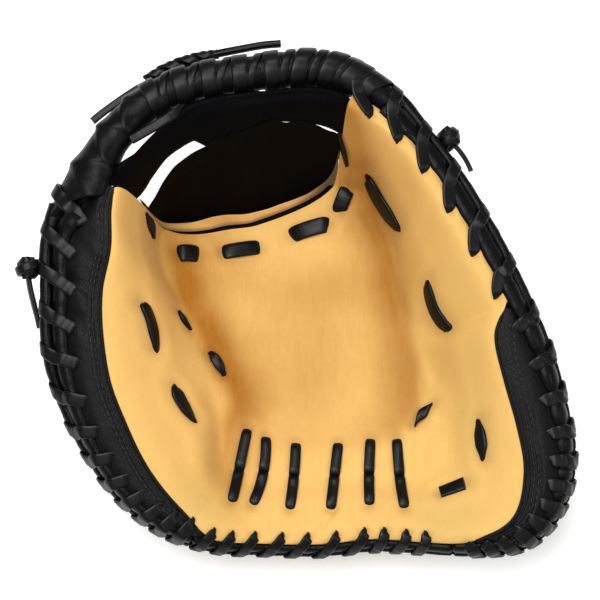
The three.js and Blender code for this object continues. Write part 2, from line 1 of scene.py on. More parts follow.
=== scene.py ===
"""A softball catcher's mitt for the left hand, lying on its back with the pocket up."""

import bpy
import numpy as np
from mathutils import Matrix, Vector


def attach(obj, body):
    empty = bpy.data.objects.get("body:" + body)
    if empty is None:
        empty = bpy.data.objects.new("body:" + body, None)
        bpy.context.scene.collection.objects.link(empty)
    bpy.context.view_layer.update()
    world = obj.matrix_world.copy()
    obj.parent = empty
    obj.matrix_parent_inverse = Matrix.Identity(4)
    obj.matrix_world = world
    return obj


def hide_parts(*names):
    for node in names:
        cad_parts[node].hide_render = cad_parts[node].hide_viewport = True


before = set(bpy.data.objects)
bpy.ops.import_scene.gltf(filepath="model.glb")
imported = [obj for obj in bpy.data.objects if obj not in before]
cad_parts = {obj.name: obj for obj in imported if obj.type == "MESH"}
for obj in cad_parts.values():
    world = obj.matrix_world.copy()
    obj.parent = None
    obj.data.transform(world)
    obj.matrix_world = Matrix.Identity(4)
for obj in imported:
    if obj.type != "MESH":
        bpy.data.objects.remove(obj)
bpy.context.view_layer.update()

# Lengths below are millimetres and angles degrees, as in the part's own drawing. A place on the
# mitt is an angle and a radius about the middle of the pocket: 0 is the finger side, 90 the web.
MM = 0.001
POCKET = np.array([8.9, -7.1])
POCKET_FLOOR = 35

# The leathers: the gap between neighbours, thicknesses of the leather and of the palm's edge, and the
# padding under the pocket and what the side pads add. The palm's edge is rolled over by PALM_ROLL, a
# side wall swells by WALL_SWELL and reaches WALL_TUCK under the welts. Last come the piping's half
# thickness and the gap between the palm and the binding.
GAP = 0.4
LEATHER = 3
PALM_EDGE = 5
PALM_PAD = 9
SIDE_PAD = 6
PALM_ROLL = 2.2
WALL_SWELL = 1.2
WALL_TUCK = 2.2
PIPING_HALF = 0.85
SLIT_GAP = 3.3

# Room between the welts and the lace, the lace's thickness, and how far beyond the lace the front
# leather ends.
LACE_ROOM = 0.6
LACE_THICK = 1.5
EDGE_ROOM = 1

# Angle past which an edge stays crisp.
CRISP = 60

# Angles of the roll's ends, of the web's two tips and of the hand opening, with the radius where the
# back ends there, and the strap's two radii.
ROLL = (71, 158.5)
TIPS = (80.5, 151.2)
WRIST = (240, 301)
WRIST_CUT = 42
STRAP = (58, 95)

# The back: its flat share of the way out, how full its oval is, and how far it leans at the edge. The
# padding's underside is laid through points at these shares of the way out.
FLAT_SHARE = 0.56
BACK_ROUND = 0.985
BACK_LEAN = 75
UNDER_SHARES = (0.9, 0.74, 0.54, 0.3)

RIM_COLUMNS = ("angle", "radius", "height", "tilt", "welt", "wall", "crest", "crease", "crease_height")
RIM = np.array([
    (5, 99.3, 79.2, 32, 4.4, 0, 1.5, 50, 38), (22, 92.2, 87, 20, 4.4, 0, 1.5, 47, 39),
    (42, 93, 94, 20, 4.4, 0, 1.5, 55, 42), (60, 100.8, 100, 20, 4.6, 0, 1.5, 68, 47),
    (72, 109.4, 104, 20, 6.6, 0, 1.5, 78, 52), (83, 115.4, 108, 20, 8.4, 0, 0.5, 78, 52),
    (106, 117.5, 112, 20, 8.6, 0, 0.5, 72, 42), (129, 128, 110, 20, 8.6, 0, 0.5, 78, 42),
    (144, 128.5, 105, 20, 8.6, 4, 2, 94, 52), (155, 130, 100, 20, 7.6, 11, 4, 84, 52),
    (165, 132, 94.5, 18, 4.8, 22, 6, 70, 46), (176, 128.5, 86, 18, 4.4, 18, 6, 61, 42),
    (187, 128.7, 78, 27, 4.4, 18.3, 6, 55, 40), (199, 127.4, 67, 55, 4.4, 18, 6, 52, 38),
    (210, 126.2, 58.6, 72, 4.4, 17.9, 5, 52, 37), (222, 125.4, 50.9, 80, 4.4, 15, 4, 60, 36),
    (234, 122.4, 44.9, 82, 4.2, 9.2, 3, 74, 36), (245, 116.3, 40.2, 80, 3.6, 0, 2, 78, 36),
    (256, 109.4, 36.9, 78, 3.2, 0, 2, 74, 36), (271, 106.5, 36, 75, 3.2, 0, 2, 72, 36),
    (287, 109, 37, 75, 3.2, 0, 2, 74, 36), (297, 119.3, 39.7, 79, 3.2, 0, 2, 80, 36),
    (305, 131.4, 41.9, 82, 3.6, 1.4, 3, 84, 36), (314, 144.5, 45.5, 80, 4.2, 8.4, 4, 82, 37),
    (323, 145.4, 49.6, 72, 4.4, 17.7, 5, 74, 37), (332, 137.4, 54.7, 60, 4.4, 23.9, 6, 65, 37),
    (341, 124.3, 60.8, 58, 4.4, 23.7, 6, 60, 37), (352, 111.2, 69.6, 48, 4.4, 18.3, 5, 54, 38),
])

# Angle and radius of the slit that ends the palm at the web, and of the binding's outer edge.
SLIT = np.array([
    (80.5, 101), (81.3, 96), (82.1, 85), (83.2, 79.5), (84.6, 77.3), (88.7, 73.4), (95, 70.2), (101.7, 68.8),
    (108, 68.4), (115.1, 69), (127.1, 74.5), (135.2, 79.5), (141.3, 87), (145.5, 98), (148, 104.5),
    (151.2, 112),
])
CROTCH = np.array([
    (80.5, 102), (81.3, 97.4), (82.1, 88.5), (83.2, 84.2), (84.6, 82), (88.7, 78.8), (95, 75.7),
    (101.7, 74.5), (108, 74.2), (115.1, 75.2), (127.1, 81.2), (135.2, 87), (141.3, 94), (145.5, 99.5),
    (148, 104.5), (151.2, 112),
])

# The web, as distances inside the roll's middle line: angle, panel's top, band's low and top edges.
WEB = np.array([
    (82.3, 25, 24.4, 12.5), (94, 24.5, 23.9, 12.5), (103, 23.6, 23, 13), (113, 26.4, 25.8, 13),
    (123.4, 28.8, 28.2, 13.2), (126, 28.9, 25.3, 13.2), (130, 28.8, 25.1, 13.4),
    (135, 28, 24.2, 13.4), (141, 27.6, 23.8, 13.2), (147.7, 28, 24.5, 13),
])

# Laces that show on the palm: name, width, then three points from the middle of the pocket.
PALM_LACES = [
    ("crotch_lace_1", 8, -69, 44, -65, 44.5, -60, 45), ("crotch_lace_2", 7, -47, 47, -38, 49, -29, 51),
    ("crotch_lace_3", 7.5, -12, 57, -3, 59, 6, 61), ("crotch_lace_4", 7, 12, 68, 14, 72.5, 16, 77),
    ("thumb_lace_1", 6.2, -85, 6, -81, 0, -78, -14), ("thumb_lace_2", 3.5, -69, 13, -66, 9, -63, 5),
    ("thumb_lace_3", 6.6, -69, -30, -66, -37, -60, -44),
    ("thumb_lace_4", 4.5, -53, -6, -49.5, -11, -46, -17),
    ("finger_lace_1", 9.2, 26, 77, 31, 68, 41, 53), ("finger_lace_2", 7.4, 55, 23, 58.5, 10.5, 66, 0),
    ("finger_lace_3", 4.5, 49, -43, 53, -37, 58, -32), ("finger_lace_4", 6, 79, -46, 80, -56, 81, -65),
    ("finger_lace_5", 6.2, 60.5, -79.2, 66.3, -77.5, 72.2, -75.8),
    ("heel_lace_1", 4.7, -34, -45, -38, -66, -41, -84),
    ("heel_lace_2", 4.7, -25, -49, -26, -67, -31, -85), ("heel_lace_3", 4.7, -10, -52, -11, -69, -13, -87),
    ("heel_lace_4", 4.7, 11, -52, 9, -69, 7, -87), ("heel_lace_5", 4.7, 27, -50, 26, -68, 26, -85),
    ("heel_lace_6", 4.7, 40, -50, 41, -69, 43, -87),
]

# Whip laces: lace width, which way its turns lean (1 clockwise, -1 the other way), how much each end
# narrows, and the angles of its holes.
RIM_LACES = {
    "rim_lace_thumb": (
        6.6, 1, 0.12,
        (161.5, 168.8, 176.8, 185.2, 193, 201.5, 208.5, 215, 220.8, 225.8, 230.5, 234.5, 238.5)),
    "rim_lace_heel": (
        5.2, 1, 0.12,
        (244, 248.5, 254, 261, 268, 275.8, 283.5, 288.5, 293.5, 297.5)),
    "rim_lace_finger": (
        6.6, -1, 0.4,
        (304.2, 307, 310, 313.2, 316.6, 320.3, 324.2, 328.5, 333.2, 339, 346, 354.8, 364.5, 379, 395.8,
         411.2, 423.2, 433.8)),
}
RIM_WELTS = [("rim_welt_thumb", 158.7, 239.5), ("rim_welt_heel", 239.7, 301.5),
             ("rim_welt_finger", 301.7, 430.8)]

# Route of the roll lace's long cut end, from the knot: angle, and millimetres outwards and up
# beyond the wound lace. The part's solid follows the same points.
ROLL_TAIL = [(113.7, 2.9, 3), (111, 2.9, 3.6), (107.5, 3, 4.2), (104, 3.2, 4.6), (101, 3.1, 4.8),
             (97.6, 2.6, 4.8)]
ROLL_TAIL_SECTION = (4.1, 3.1)

# Camera: seen from the heel, 70 degrees above the floor, from 1150 mm.
CAMERA = {"target": (0.9, 10.9, 50), "distance": 1150, "elevation": 70, "lens": 138, "sensor": 36}


def rim(column, angle):
    """One column of the rim table at any angle: cubic pieces through its rows, whose slope at a row
    is the mean of the slopes on its two sides, each weighted by the other side's length."""
    k = RIM_COLUMNS.index(column)
    at, value = RIM[:, 0], RIM[:, k]
    x = np.concatenate([at[-2:] - 360, at, at[:2] + 360])
    y = np.concatenate([value[-2:], value, value[:2]])
    h = np.diff(x)
    d = np.diff(y) / h
    slope = (d[:-1] * h[1:] + d[1:] * h[:-1]) / (h[:-1] + h[1:])
    q = np.mod(np.asarray(angle, float), 360)
    q = np.where(q < at[0], q + 360, q)
    i = np.clip(np.searchsorted(x, q, side="right") - 1, 2, len(at) + 1)
    return hermite((q - x[i]) / h[i], h[i], y[i], y[i + 1], slope[i - 1], slope[i])


def hermite(t, h, y0, y1, m0, m1):
    """Cubic between two values h apart, with slopes m0 and m1 at its ends."""
    bend = (t**3 - 2 * t**2 + t) * h * m0 + (t**3 - t**2) * h * m1
    return (2 * t**3 - 3 * t**2 + 1) * y0 + (3 * t**2 - 2 * t**3) * y1 + bend


def between(table, column, angle):
    """A column of a table at any angle: the monotone cubic through its rows."""
    at = np.mod(np.asarray(angle, float), 360)
    inside = np.clip(at.ravel(), table[0, 0], table[-1, 0])
    xs = np.broadcast_to(table[:, 0], (inside.size, len(table)))
    ys = np.broadcast_to(table[:, column], xs.shape)
    return monotone(xs, ys, inside).reshape(at.shape)


def ease(value, low, high):
    """0 below low and 1 above high, with a smooth step (3t^2 - 2t^3) between them."""
    t = np.clip((value - low) / (high - low), 0, 1)
    return t * t * (3 - 2 * t)


def bell(distance, width):
    """Bell shape: e to the power of minus the square of distance over width."""
    return np.exp(-((distance / width) ** 2))


def both_ends(share, over):
    """0 at both ends of a length and 1 between them, with a smooth step over a share of it."""
    return ease(share, 0, over) * ease(1 - share, 0, over)


def stretch(value, start, full, ending, end):
    """1 from full to ending and 0 outside start and end, with a smooth step on each side."""
    return ease(value, start, full) * (1 - ease(value, ending, end))


def ring_corners(count):
    """Angles of a ring's corners, in radians."""
    return 2 * np.pi * np.arange(count) / count


def run(line):
    """Distance along a line of points, at each of them."""
    return np.concatenate([[0], np.cumsum(np.linalg.norm(np.diff(line, axis=0), axis=1))])


def level_place(angle, radius):
    """x and y of places by angle and radius."""
    a = np.radians(angle)
    return radius * np.cos(a), radius * np.sin(a)


def in_web(angle):
    """True over the web, where the palm stops at the slit."""
    a = np.mod(angle, 360)
    return (a >= TIPS[0]) & (a <= TIPS[1])


def slant(angle):
    """Step along a radius against one straight across the rim: root of 1 + (R'/R)^2."""
    per_radian = (rim("radius", angle + 1) - rim("radius", angle - 1)) / 2 * (180 / np.pi)
    return np.hypot(1, per_radian / rim("radius", angle))


def lace_reach(angle):
    """Distance from the middle of the rim to the outside of the lace wound round it."""
    return rim("welt", angle) + LACE_ROOM + LACE_THICK


def front_edge(angle):
    """Radius, height and tilt of the front leather's outer edge, just inside the wound lace."""
    tilt = np.radians(rim("tilt", angle))
    lip = lace_reach(angle) + EDGE_ROOM
    radius = rim("radius", angle) - lip * np.cos(tilt) * slant(angle)
    return radius, rim("height", angle) + lip * np.sin(tilt), tilt


def rim_through(angle):
    """Half thickness of the rim: round at the roll, flatter where it is a pair of welts."""
    over_web = np.clip((angle - ROLL[0] + 4) / 8, 0, 1) * np.clip((ROLL[1] + 4 - angle) / 8, 0, 1)
    return rim("welt", angle) * (0.77 + 0.23 * over_web)


def monotone(xs, ys, x):
    """Cubic through each row of knots that never overshoots: inner slopes are the weighted harmonic
    mean of the chords beside them, 0 at the start, and the last chord's slope at the end."""
    h = np.diff(xs, axis=1)
    d = np.diff(ys, axis=1) / h
    w1 = 2 * h[:, 1:] + h[:, :-1]
    w2 = h[:, 1:] + 2 * h[:, :-1]
    slope = np.zeros_like(xs)
    rising = d[:, :-1] * d[:, 1:] > 0
    safe = np.where(rising, d[:, :-1], 1), np.where(rising, d[:, 1:], 1)
    slope[:, 1:-1] = np.where(rising, (w1 + w2) / (w1 / safe[0] + w2 / safe[1]), 0)
    slope[:, -1] = d[:, -1]
    i = np.clip((x[:, None] > xs[:, 1:-1]).sum(1), 0, xs.shape[1] - 2)
    row = np.arange(len(x))
    t = (x - xs[row, i]) / h[row, i]
    return hermite(t, h[row, i], ys[row, i], ys[row, i + 1], slope[row, i], slope[row, i + 1])


def front(angle, radius):
    """Height of the mitt's front along a radius: the flat pocket floor, the crease, the steep pad, its
    crest and the side wall, joined by the monotone cubic."""
    angle, radius = np.broadcast_arrays(np.asarray(angle, float), np.asarray(radius, float))
    a = angle.ravel()
    edge_radius, edge_height, _ = front_edge(a)
    shoulder = np.maximum(rim("wall", a), 5)
    crest = edge_height + rim("crest", a)
    crest_at = edge_radius - shoulder
    crease, low = rim("crease", a), rim("crease_height", a)
    floor = np.full_like(a, POCKET_FLOOR)
    xs = [0 * a, 0.55 * crease, crease, (crease + crest_at) / 2, crest_at, crest_at + 0.6 * shoulder,
          edge_radius]
    ys = [floor, floor + 0.35 * (low - floor), low, low + 0.6 * (crest - low), crest,
          edge_height + 0.7 * rim("crest", a), edge_height]
    inside = np.minimum(radius.ravel(), edge_radius)
    return monotone(np.stack(xs, 1), np.stack(ys, 1), inside).reshape(angle.shape)


def polar(angle, radius, height):
    """Points by angle, radius and height."""
    x, y = level_place(angle, radius)
    return np.stack(np.broadcast_arrays(POCKET[0] + x, POCKET[1] + y, height), -1)


def palm_radius(angle):
    """Where the cream palm ends: the slit at the web, the piped seam on the sides, the lace elsewhere."""
    return np.interp(np.mod(angle, 360), SEAM_ANGLES, SEAM)


def seam_line():
    """The palm's edge all round, every tenth of a degree, its corners at the two tips rounded off by
    a bell-shaped average 0.35 degrees wide."""
    angle = np.arange(0, 360.05, 0.1)
    sides = front_edge(angle)[0] - np.maximum(rim("wall", angle), 0)
    radius = np.where(in_web(angle), between(SLIT, 1, angle), sides)
    offset = np.arange(-12, 13)
    weight = bell(offset * 0.1, 0.35)
    soft = np.convolve(np.pad(radius, 12, mode="edge"), weight / weight.sum(), "valid")
    near = np.exp(-(((angle - TIPS[0]) / 3) ** 4)) + np.exp(-(((angle - TIPS[1]) / 4) ** 4))
    return angle, radius + (soft - radius) * np.clip(near, 0, 1)


SEAM_ANGLES, SEAM = seam_line()


def palm_pad(angle, share):
    """Thickness of the palm's padding: more under the thumb and finger pads than at the heel."""
    side = 1 - 0.5 * np.maximum(0, -np.sin(np.radians(angle)))
    return PALM_PAD + SIDE_PAD * side * bell(share - 0.72, 0.12)


def unit(vectors):
    """Vectors of length 1."""
    return vectors / np.linalg.norm(vectors, axis=-1, keepdims=True)


def rim_frame(angle):
    """Middle of the welts at each angle, and the directions along the rim, outwards and down across
    it, and up out of it."""
    at = lambda a: polar(a, rim("radius", a), rim("height", a))
    along = unit(at(angle + 0.5) - at(angle - 0.5))
    level = unit(np.stack([along[..., 1], -along[..., 0], 0 * along[..., 0]], -1))
    tilt = np.radians(rim("tilt", angle))[..., None]
    out = level * np.cos(tilt) - np.array([0, 0, 1.0]) * np.sin(tilt)
    out = unit(out - along * (out * along).sum(-1, keepdims=True))
    return at(angle), along, out, unit(np.cross(out, along))


def on_rim(angle, out, up):
    """Points by their distances outwards and up from the middle of the rim."""
    middle, _, outward, upward = rim_frame(angle)
    return middle + outward * np.asarray(out)[..., None] + upward * np.asarray(up)[..., None]


def noise(x, y, size, seed):
    """Smooth random height from -1 to 1: random values on a square grid of the given size, blended
    by the smooth step in each direction."""
    values = np.random.default_rng(seed).uniform(-1, 1, (64, 64))
    u, v = np.asarray(x) / size + 31, np.asarray(y) / size + 29
    i, j = np.floor(u).astype(int), np.floor(v).astype(int)
    s, t = ease(u - i, 0, 1), ease(v - j, 0, 1)
    i, j = i % 63, j % 63
    low = values[i, j] * (1 - s) + values[i + 1, j] * s
    high = values[i, j + 1] * (1 - s) + values[i + 1, j + 1] * s
    return low * (1 - t) + high * t


def curve_through(points, per_span):
    """Catmull-Rom curve: between two points, a cubic whose slope at each is half the step between
    the point's neighbours."""
    p = np.asarray(points, float)
    p = np.concatenate([2 * p[:1] - p[1:2], p, 2 * p[-1:] - p[-2:-1]])
    t = (np.arange(per_span) / per_span)[None, :, None]
    a, b, c, d = p[:-3, None], p[1:-2, None], p[2:-1, None], p[3:, None]
    spans = 0.5 * (2 * b + (c - a) * t + (2 * a - 5 * b + 4 * c - d) * t**2 + (3 * b - a - 3 * c + d) * t**3)
    return np.concatenate([spans.reshape(-1, p.shape[1]), p[-2:-1]])


def beside_line(x, y, path):
    """Distance from places to a bent line, which side of it they lie on, and how far along it."""
    line = curve_through(np.asarray(path, float).reshape(-1, 2), 6)
    best = np.full(np.shape(x), 1e9)
    side = np.zeros_like(best)
    share = np.zeros_like(best)
    for k, (start, end) in enumerate(zip(line[:-1], line[1:])):
        step = end - start
        t = np.clip(((x - start[0]) * step[0] + (y - start[1]) * step[1]) / (step @ step), 0, 1)
        dx, dy = x - start[0] - t * step[0], y - start[1] - t * step[1]
        gap = np.hypot(dx, dy)
        nearer = gap < best
        side = np.where(nearer, np.sign(step[0] * dy - step[1] * dx), side)
        share = np.where(nearer, (k + t) / (len(line) - 1), share)
        best = np.where(nearer, gap, best)
    return best, side, share


# Folds of the palm: four points from the middle of the pocket, half width and height of the ridge
# (below 0 for a valley), and how much of the line each end fades over.
FOLDS = [
    ((-82, 51, -66, 20, -50, -14, -43, -48), 5, -1.6, 0.25),
    ((-62, 24, -52, -6, -41, -34, -37, -56), 6, 1.3, 0.3),
    ((-57, -18, -51, -34, -48, -52, -50, -72), 4.2, -1.8, 0.3),
    ((-63, -34, -58, -50, -56, -64, -60, -80), 6, 1.5, 0.35),
    ((16, 80, 31, 57, 40, 28, 47, -6), 3.6, -2.1, 0.3), ((22, 78, 38, 48, 50, 20, 56, -8), 6, 1.1, 0.3),
    ((48, -10, 53, -30, 52, -52, 49, -74), 4.2, -1.8, 0.25),
    ((56, -6, 62, -30, 61, -54, 58, -76), 7, 1.3, 0.3),
    ((12, -80, 8, -89, 3, -97, -2, -104), 1.3, -1.1, 0.3),
    ((22, -88, 20, -93, 21, -99, 23, -104), 1.4, -0.8, 0.4),
    ((34, -90, 33, -94, 33, -99, 35, -106), 1.6, -0.8, 0.4),
    ((-20, -88, -21, -93, -22, -99, -21, -104), 1.6, -0.8, 0.4),
    ((-47, 30, -43, 12, -41, -4, -36, -20), 2.4, -0.5, 0.4),
    ((-30, 34, -28, 16, -27, 0, -25, -16), 2.6, -0.45, 0.4),
    ((-52, 42, -40, 38, -22, 42, -8, 48), 5, 0.6, 0.4), ((26, 20, 30, 4, 33, -12, 34, -28), 3, -0.5, 0.4),
]


def hole_angle(holes, turn):
    """Angle at any number of turns along a whip lace: straight between its holes, and on past them."""
    first, last = 2 * holes[0] - holes[1], 2 * holes[-1] - holes[-2]
    return np.interp(turn, np.arange(-1, len(holes) + 1), [first, *holes, last])


def bite_depth(angle):
    """How far inside the welts the lace enters: 7.6 mm on the finger side, 6 at the heel, 8.4 in a wall,
    and 3 at the corner where the finger side's wall runs out."""
    a = np.mod(angle, 360)
    heel = stretch(a, 236, 246, 300, 308)
    corner = stretch(a, 298, 303, 308, 317)
    return 8.4 - (1 - ease(rim("wall", angle), 0.5, 8)) * (0.8 + 1.6 * heel) - 4.2 * corner


def walled(angle):
    """1 where a black side wall meets the rim, fading to 0 where the cream palm does."""
    return ease(rim("wall", angle), 2, 10)


def plump(angle):
    """1 along the finger side's wall, where the welts swell into one thick roll."""
    return walled(angle) * (np.cos(np.radians(angle)) > 0)


def on_front(angle, inward):
    """A point on the front leather a given distance inside the rim's middle line, measured across the
    rim: along the welts' slope as far as the leather's edge, then along the front."""
    tilt = front_edge(angle)[2]
    lip = lace_reach(angle) + EDGE_ROOM
    past = np.maximum(inward - lip, 0)
    radius = rim("radius", angle) - (np.minimum(inward, lip) * np.cos(tilt) + 0.95 * past) * slant(angle)
    sloping = rim("height", angle) + inward * np.sin(tilt)
    return polar(angle, radius, np.where(past > 0, front(angle, radius), sloping))


def lace_holes():
    """Places, from the middle of the pocket, where whip laces enter the cream palm."""
    places = []
    for _, _, _, holes in RIM_LACES.values():
        angle = np.array(holes, float)
        angle = angle[rim("wall", angle) < 2]
        places.append(on_front(angle, rim("welt", angle) + bite_depth(angle))[:, :2] - POCKET)
    return np.concatenate(places)


LACE_HOLES = lace_holes()


def relief(x, y):
    """What the front stands proud of its plain form: bell-shaped ridges and valleys along the folds,
    a soft trough with raised shoulders along each lace, dimples at its holes, and slow unevenness."""
    height = 0.45 * noise(x, y, 26, 4) + 0.16 * noise(x, y, 9, 5)
    for path, width, tall, fade in FOLDS:
        gap, _, share = beside_line(x, y, path)
        height += tall * both_ends(share, fade) * bell(gap, width)
    for _, width, *points in PALM_LACES:
        gap, _, share = beside_line(x, y, points)
        height += 0.6 * bell(gap - width - 1, 3.2) - 0.6 * bell(gap, 0.7 * width)
        for end in (points[:2], points[-2:]):
            height -= 0.9 * bell(np.hypot(x - end[0], y - end[1]), 2.8)
    for hole in LACE_HOLES:
        reach = np.hypot(x - hole[0], y - hole[1])
        height += 0.5 * bell(reach, 9) - 1.5 * bell(reach, 3.4)
    return height


def surface(x, y):
    """Height of the dressed palm above a place, from the middle of the pocket."""
    angle, radius = np.degrees(np.arctan2(y, x)), np.hypot(x, y)
    edge = np.minimum(palm_radius(angle), front_edge(angle)[0])
    fade = 1 - ease(radius / edge, 0.96, 1)
    return front(angle, radius) + relief(x, y) * fade


def grid_quads(rows, columns, wrap, first=0):
    """Corner numbers of the quads of a grid of points, closed round its columns or not."""
    i, j = np.meshgrid(np.arange(rows - 1), np.arange(columns - (not wrap)), indexing="ij")
    k = (j + 1) % columns
    corners = [i * columns + j, i * columns + k, (i + 1) * columns + k, (i + 1) * columns + j]
    return first + np.stack(corners, -1).reshape(-1, 4)


def tube(rings):
    """Closed body through rings of points, with a pole in the middle of each end."""
    rows, columns = rings.shape[:2]
    points = np.concatenate([rings.reshape(-1, 3), rings[:1].mean(1), rings[-1:].mean(1)])
    j = np.arange(columns)
    k = (j + 1) % columns
    last = (rows - 1) * columns
    near = np.stack([np.full(columns, rows * columns), k, j], 1)
    far = np.stack([np.full(columns, rows * columns + 1), last + j, last + k], 1)
    return points, grid_quads(rows, columns, True), np.concatenate([near, far])


def slab(upper, lower):
    """Closed body between two grids of points of the same size, joined round their borders."""
    rows, columns = upper.shape[:2]
    count = rows * columns
    index = np.arange(count).reshape(rows, columns)
    border = np.concatenate([index[0], index[1:, -1], index[-1, -2::-1], index[-2:0:-1, 0]])
    after = np.roll(border, -1)
    sides = np.stack([border, border + count, after + count, after], 1)
    quads = [grid_quads(rows, columns, False), grid_quads(rows, columns, False, count)[:, ::-1], sides]
    points = np.concatenate([upper.reshape(-1, 3), lower.reshape(-1, 3)])
    return points, np.concatenate(quads), np.zeros((0, 3), int)


def joined(bodies):
    """Several bodies as one."""
    points, quads, tris, first = [], [], [], 0
    for p, q, t in bodies:
        points.append(p)
        quads.append(q + first)
        tris.append(t + first)
        first += len(p)
    return np.concatenate(points), np.concatenate(quads), np.concatenate(tris)


def outward(body):
    """The body with its faces turned outwards, told by the sign of its volume."""
    points, quads, tris = body
    every = np.concatenate([quads[:, :3], quads[:, [0, 2, 3]], tris])
    a, b, c = points[every[:, 0]], points[every[:, 1]], points[every[:, 2]]
    if (np.cross(a, b) * c).sum() < 0:
        return points, quads[:, ::-1], tris[:, ::-1]
    return body


def piece(name, body, material, replaced=(), values=None):
    """A mesh object from points in millimetres, riding on the mitt, its edges crisp where they turn
    more than 60 degrees. values holds numbers or vectors for each point, by name."""
    points, quads, tris = body
    mesh = bpy.data.meshes.new(name)
    mesh.vertices.add(len(points))
    mesh.vertices.foreach_set("co", (points * MM).astype(np.float32).ravel())
    loops = np.concatenate([quads.ravel(), tris.ravel()]).astype(np.int32)
    starts = np.concatenate([np.arange(len(quads)) * 4, len(quads) * 4 + np.arange(len(tris)) * 3])
    mesh.loops.add(len(loops))
    mesh.loops.foreach_set("vertex_index", loops)
    mesh.polygons.add(len(starts))
    mesh.polygons.foreach_set("loop_start", starts.astype(np.int32))
    mesh.update(calc_edges=True)
    mesh.polygons.foreach_set("use_smooth", np.ones(len(starts), bool))
    mesh.set_sharp_from_angle(angle=np.radians(CRISP))
    for key, value in (values or {}).items():
        vector = value.ndim == 2
        layer = mesh.attributes.new(key, "FLOAT_VECTOR" if vector else "FLOAT", "POINT")
        layer.data.foreach_set("vector" if vector else "value", value.astype(np.float32).ravel())
    mesh.materials.append(material)
    thing = bpy.data.objects.new(name, mesh)
    bpy.context.scene.collection.objects.link(thing)
    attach(thing, "root")
    if replaced:
        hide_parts(*replaced)
    return thing


def strip(path, normals, width, thick, corners=12, taper=0, tip=0.25):
    """A flat lace along a path: each section is a rounded box (powers 0.4 across and 0.7 through of
    the cosine and sine), square to the path and facing its normal. taper narrows the ends, over the
    share of the length that tip gives."""
    heading = unit(np.gradient(path, axis=0))
    side = unit(np.cross(heading, normals))
    facing = unit(np.cross(side, heading))
    a = 2 * np.pi * (np.arange(corners) + 0.5) / corners
    across = np.sign(np.cos(a)) * np.abs(np.cos(a)) ** 0.4 / 2
    through = np.sign(np.sin(a)) * np.abs(np.sin(a)) ** 0.7 / 2
    share = np.linspace(0, 1, len(path))
    narrow = (1 - taper * (1 - both_ends(share, tip)))[:, None, None]
    rings = path[:, None] + side[:, None] * (width * across)[None, :, None] * narrow
    rings = rings + facing[:, None] * (thick * through)[None, :, None]
    length = run(path)
    flow = np.stack(np.broadcast_arrays(length[:, None], width * across[None, :], 0 * length[:, None]), -1)
    ends = [flow[:1].mean(1), flow[-1:].mean(1)]
    return tube(rings), np.concatenate([flow.reshape(-1, 3), *ends]) * MM


def laces(name, strips, replaced=None):
    """One piece from several lace strips, with its lengthwise pattern."""
    body = outward(joined([s[0] for s in strips]))
    values = {"flow": np.concatenate([s[1] for s in strips])}
    return piece(name, body, RAWHIDE, (name,) if replaced is None else replaced, values)


def srgb(code):
    """A hex colour as linear light, with full alpha."""
    value = np.array([int(code[i:i + 2], 16) for i in (0, 2, 4)]) / 255
    linear = np.where(value <= 0.04045, value / 12.92, ((value + 0.055) / 1.055) ** 2.4)
    return (*linear, 1)


def add(tree, kind, settings=None, links=None):
    """A node with its settings, by socket or property name, and its inputs' links."""
    node = tree.nodes.new(kind)
    for key, value in (settings or {}).items():
        if isinstance(key, int) or key in node.inputs:
            node.inputs[key].default_value = value
        else:
            setattr(node, key, value)
    for key, source in (links or {}).items():
        tree.links.new(source, node.inputs[key])
    return node


def new_material(name, **sockets):
    """An empty material with its shader, whose uniform values sit on its own sockets."""
    material = bpy.data.materials.new(name)
    material.use_nodes = True
    shader = material.node_tree.nodes["Principled BSDF"]
    for key, value in sockets.items():
        shader.inputs[key.replace("_", " ")].default_value = value
    return material, material.node_tree, shader


def per_metre(millimetres):
    """Texture scale that repeats about once in the given length."""
    return 1 / (millimetres * MM)


def object_place(tree):
    """Place on the piece, in metres."""
    return add(tree, "ShaderNodeTexCoord").outputs["Object"]


def stored(tree, name, output="Fac"):
    """A number kept on the piece's points, or a vector."""
    return add(tree, "ShaderNodeAttribute", {"attribute_name": name}).outputs[output]


def drawn_out(tree, place, *scale):
    """Places scaled along each axis, so that a texture on them is drawn out where the scale is small."""
    return add(tree, "ShaderNodeMapping", {"Scale": scale}, {"Vector": place}).outputs["Vector"]


def clouds(tree, place, millimetres, detail, swirl=0):
    """Cloudy noise whose patches are about the given length across."""
    settings = {"Scale": per_metre(millimetres), "Detail": detail, "Distortion": swirl}
    return add(tree, "ShaderNodeTexNoise", settings, {"Vector": place}).outputs["Fac"]


def respread(tree, value, old, new=(0, 1)):
    """A value's range, from old to new, cut off at its ends."""
    settings = {"From Min": old[0], "From Max": old[1], "To Min": new[0], "To Max": new[1]}
    return add(tree, "ShaderNodeMapRange", settings, {"Value": value}).outputs["Result"]


def times(tree, one, other):
    """Two values multiplied."""
    return add(tree, "ShaderNodeMath", {"operation": "MULTIPLY"}, {0: one, 1: other}).outputs[0]


def plus(tree, one, other):
    """Two values added up, kept between 0 and 1."""
    settings = {"operation": "ADD", "use_clamp": True}
    return add(tree, "ShaderNodeMath", settings, {0: one, 1: other}).outputs[0]


def blend(tree, amount, base, over):
    """A colour from base, a hex code or another blend, to the hex code over."""
    settings = {"data_type": "RGBA", 7: srgb(over)}
    links = {"Factor": amount}
    if isinstance(base, str):
        settings[6] = srgb(base)
    else:
        links[6] = base
    return add(tree, "ShaderNodeMix", settings, links).outputs[2]


def bumps(tree, height, strength, millimetres, under=None, sunk=False):
    """Surface direction over bumps of the given depth, laid over other bumps or sunk in."""
    settings = {"Strength": strength, "Distance": millimetres * MM, "invert": sunk}
    links = {"Height": height} if under is None else {"Height": height, "Normal": under}
    return add(tree, "ShaderNodeBump", settings, links).outputs["Normal"]


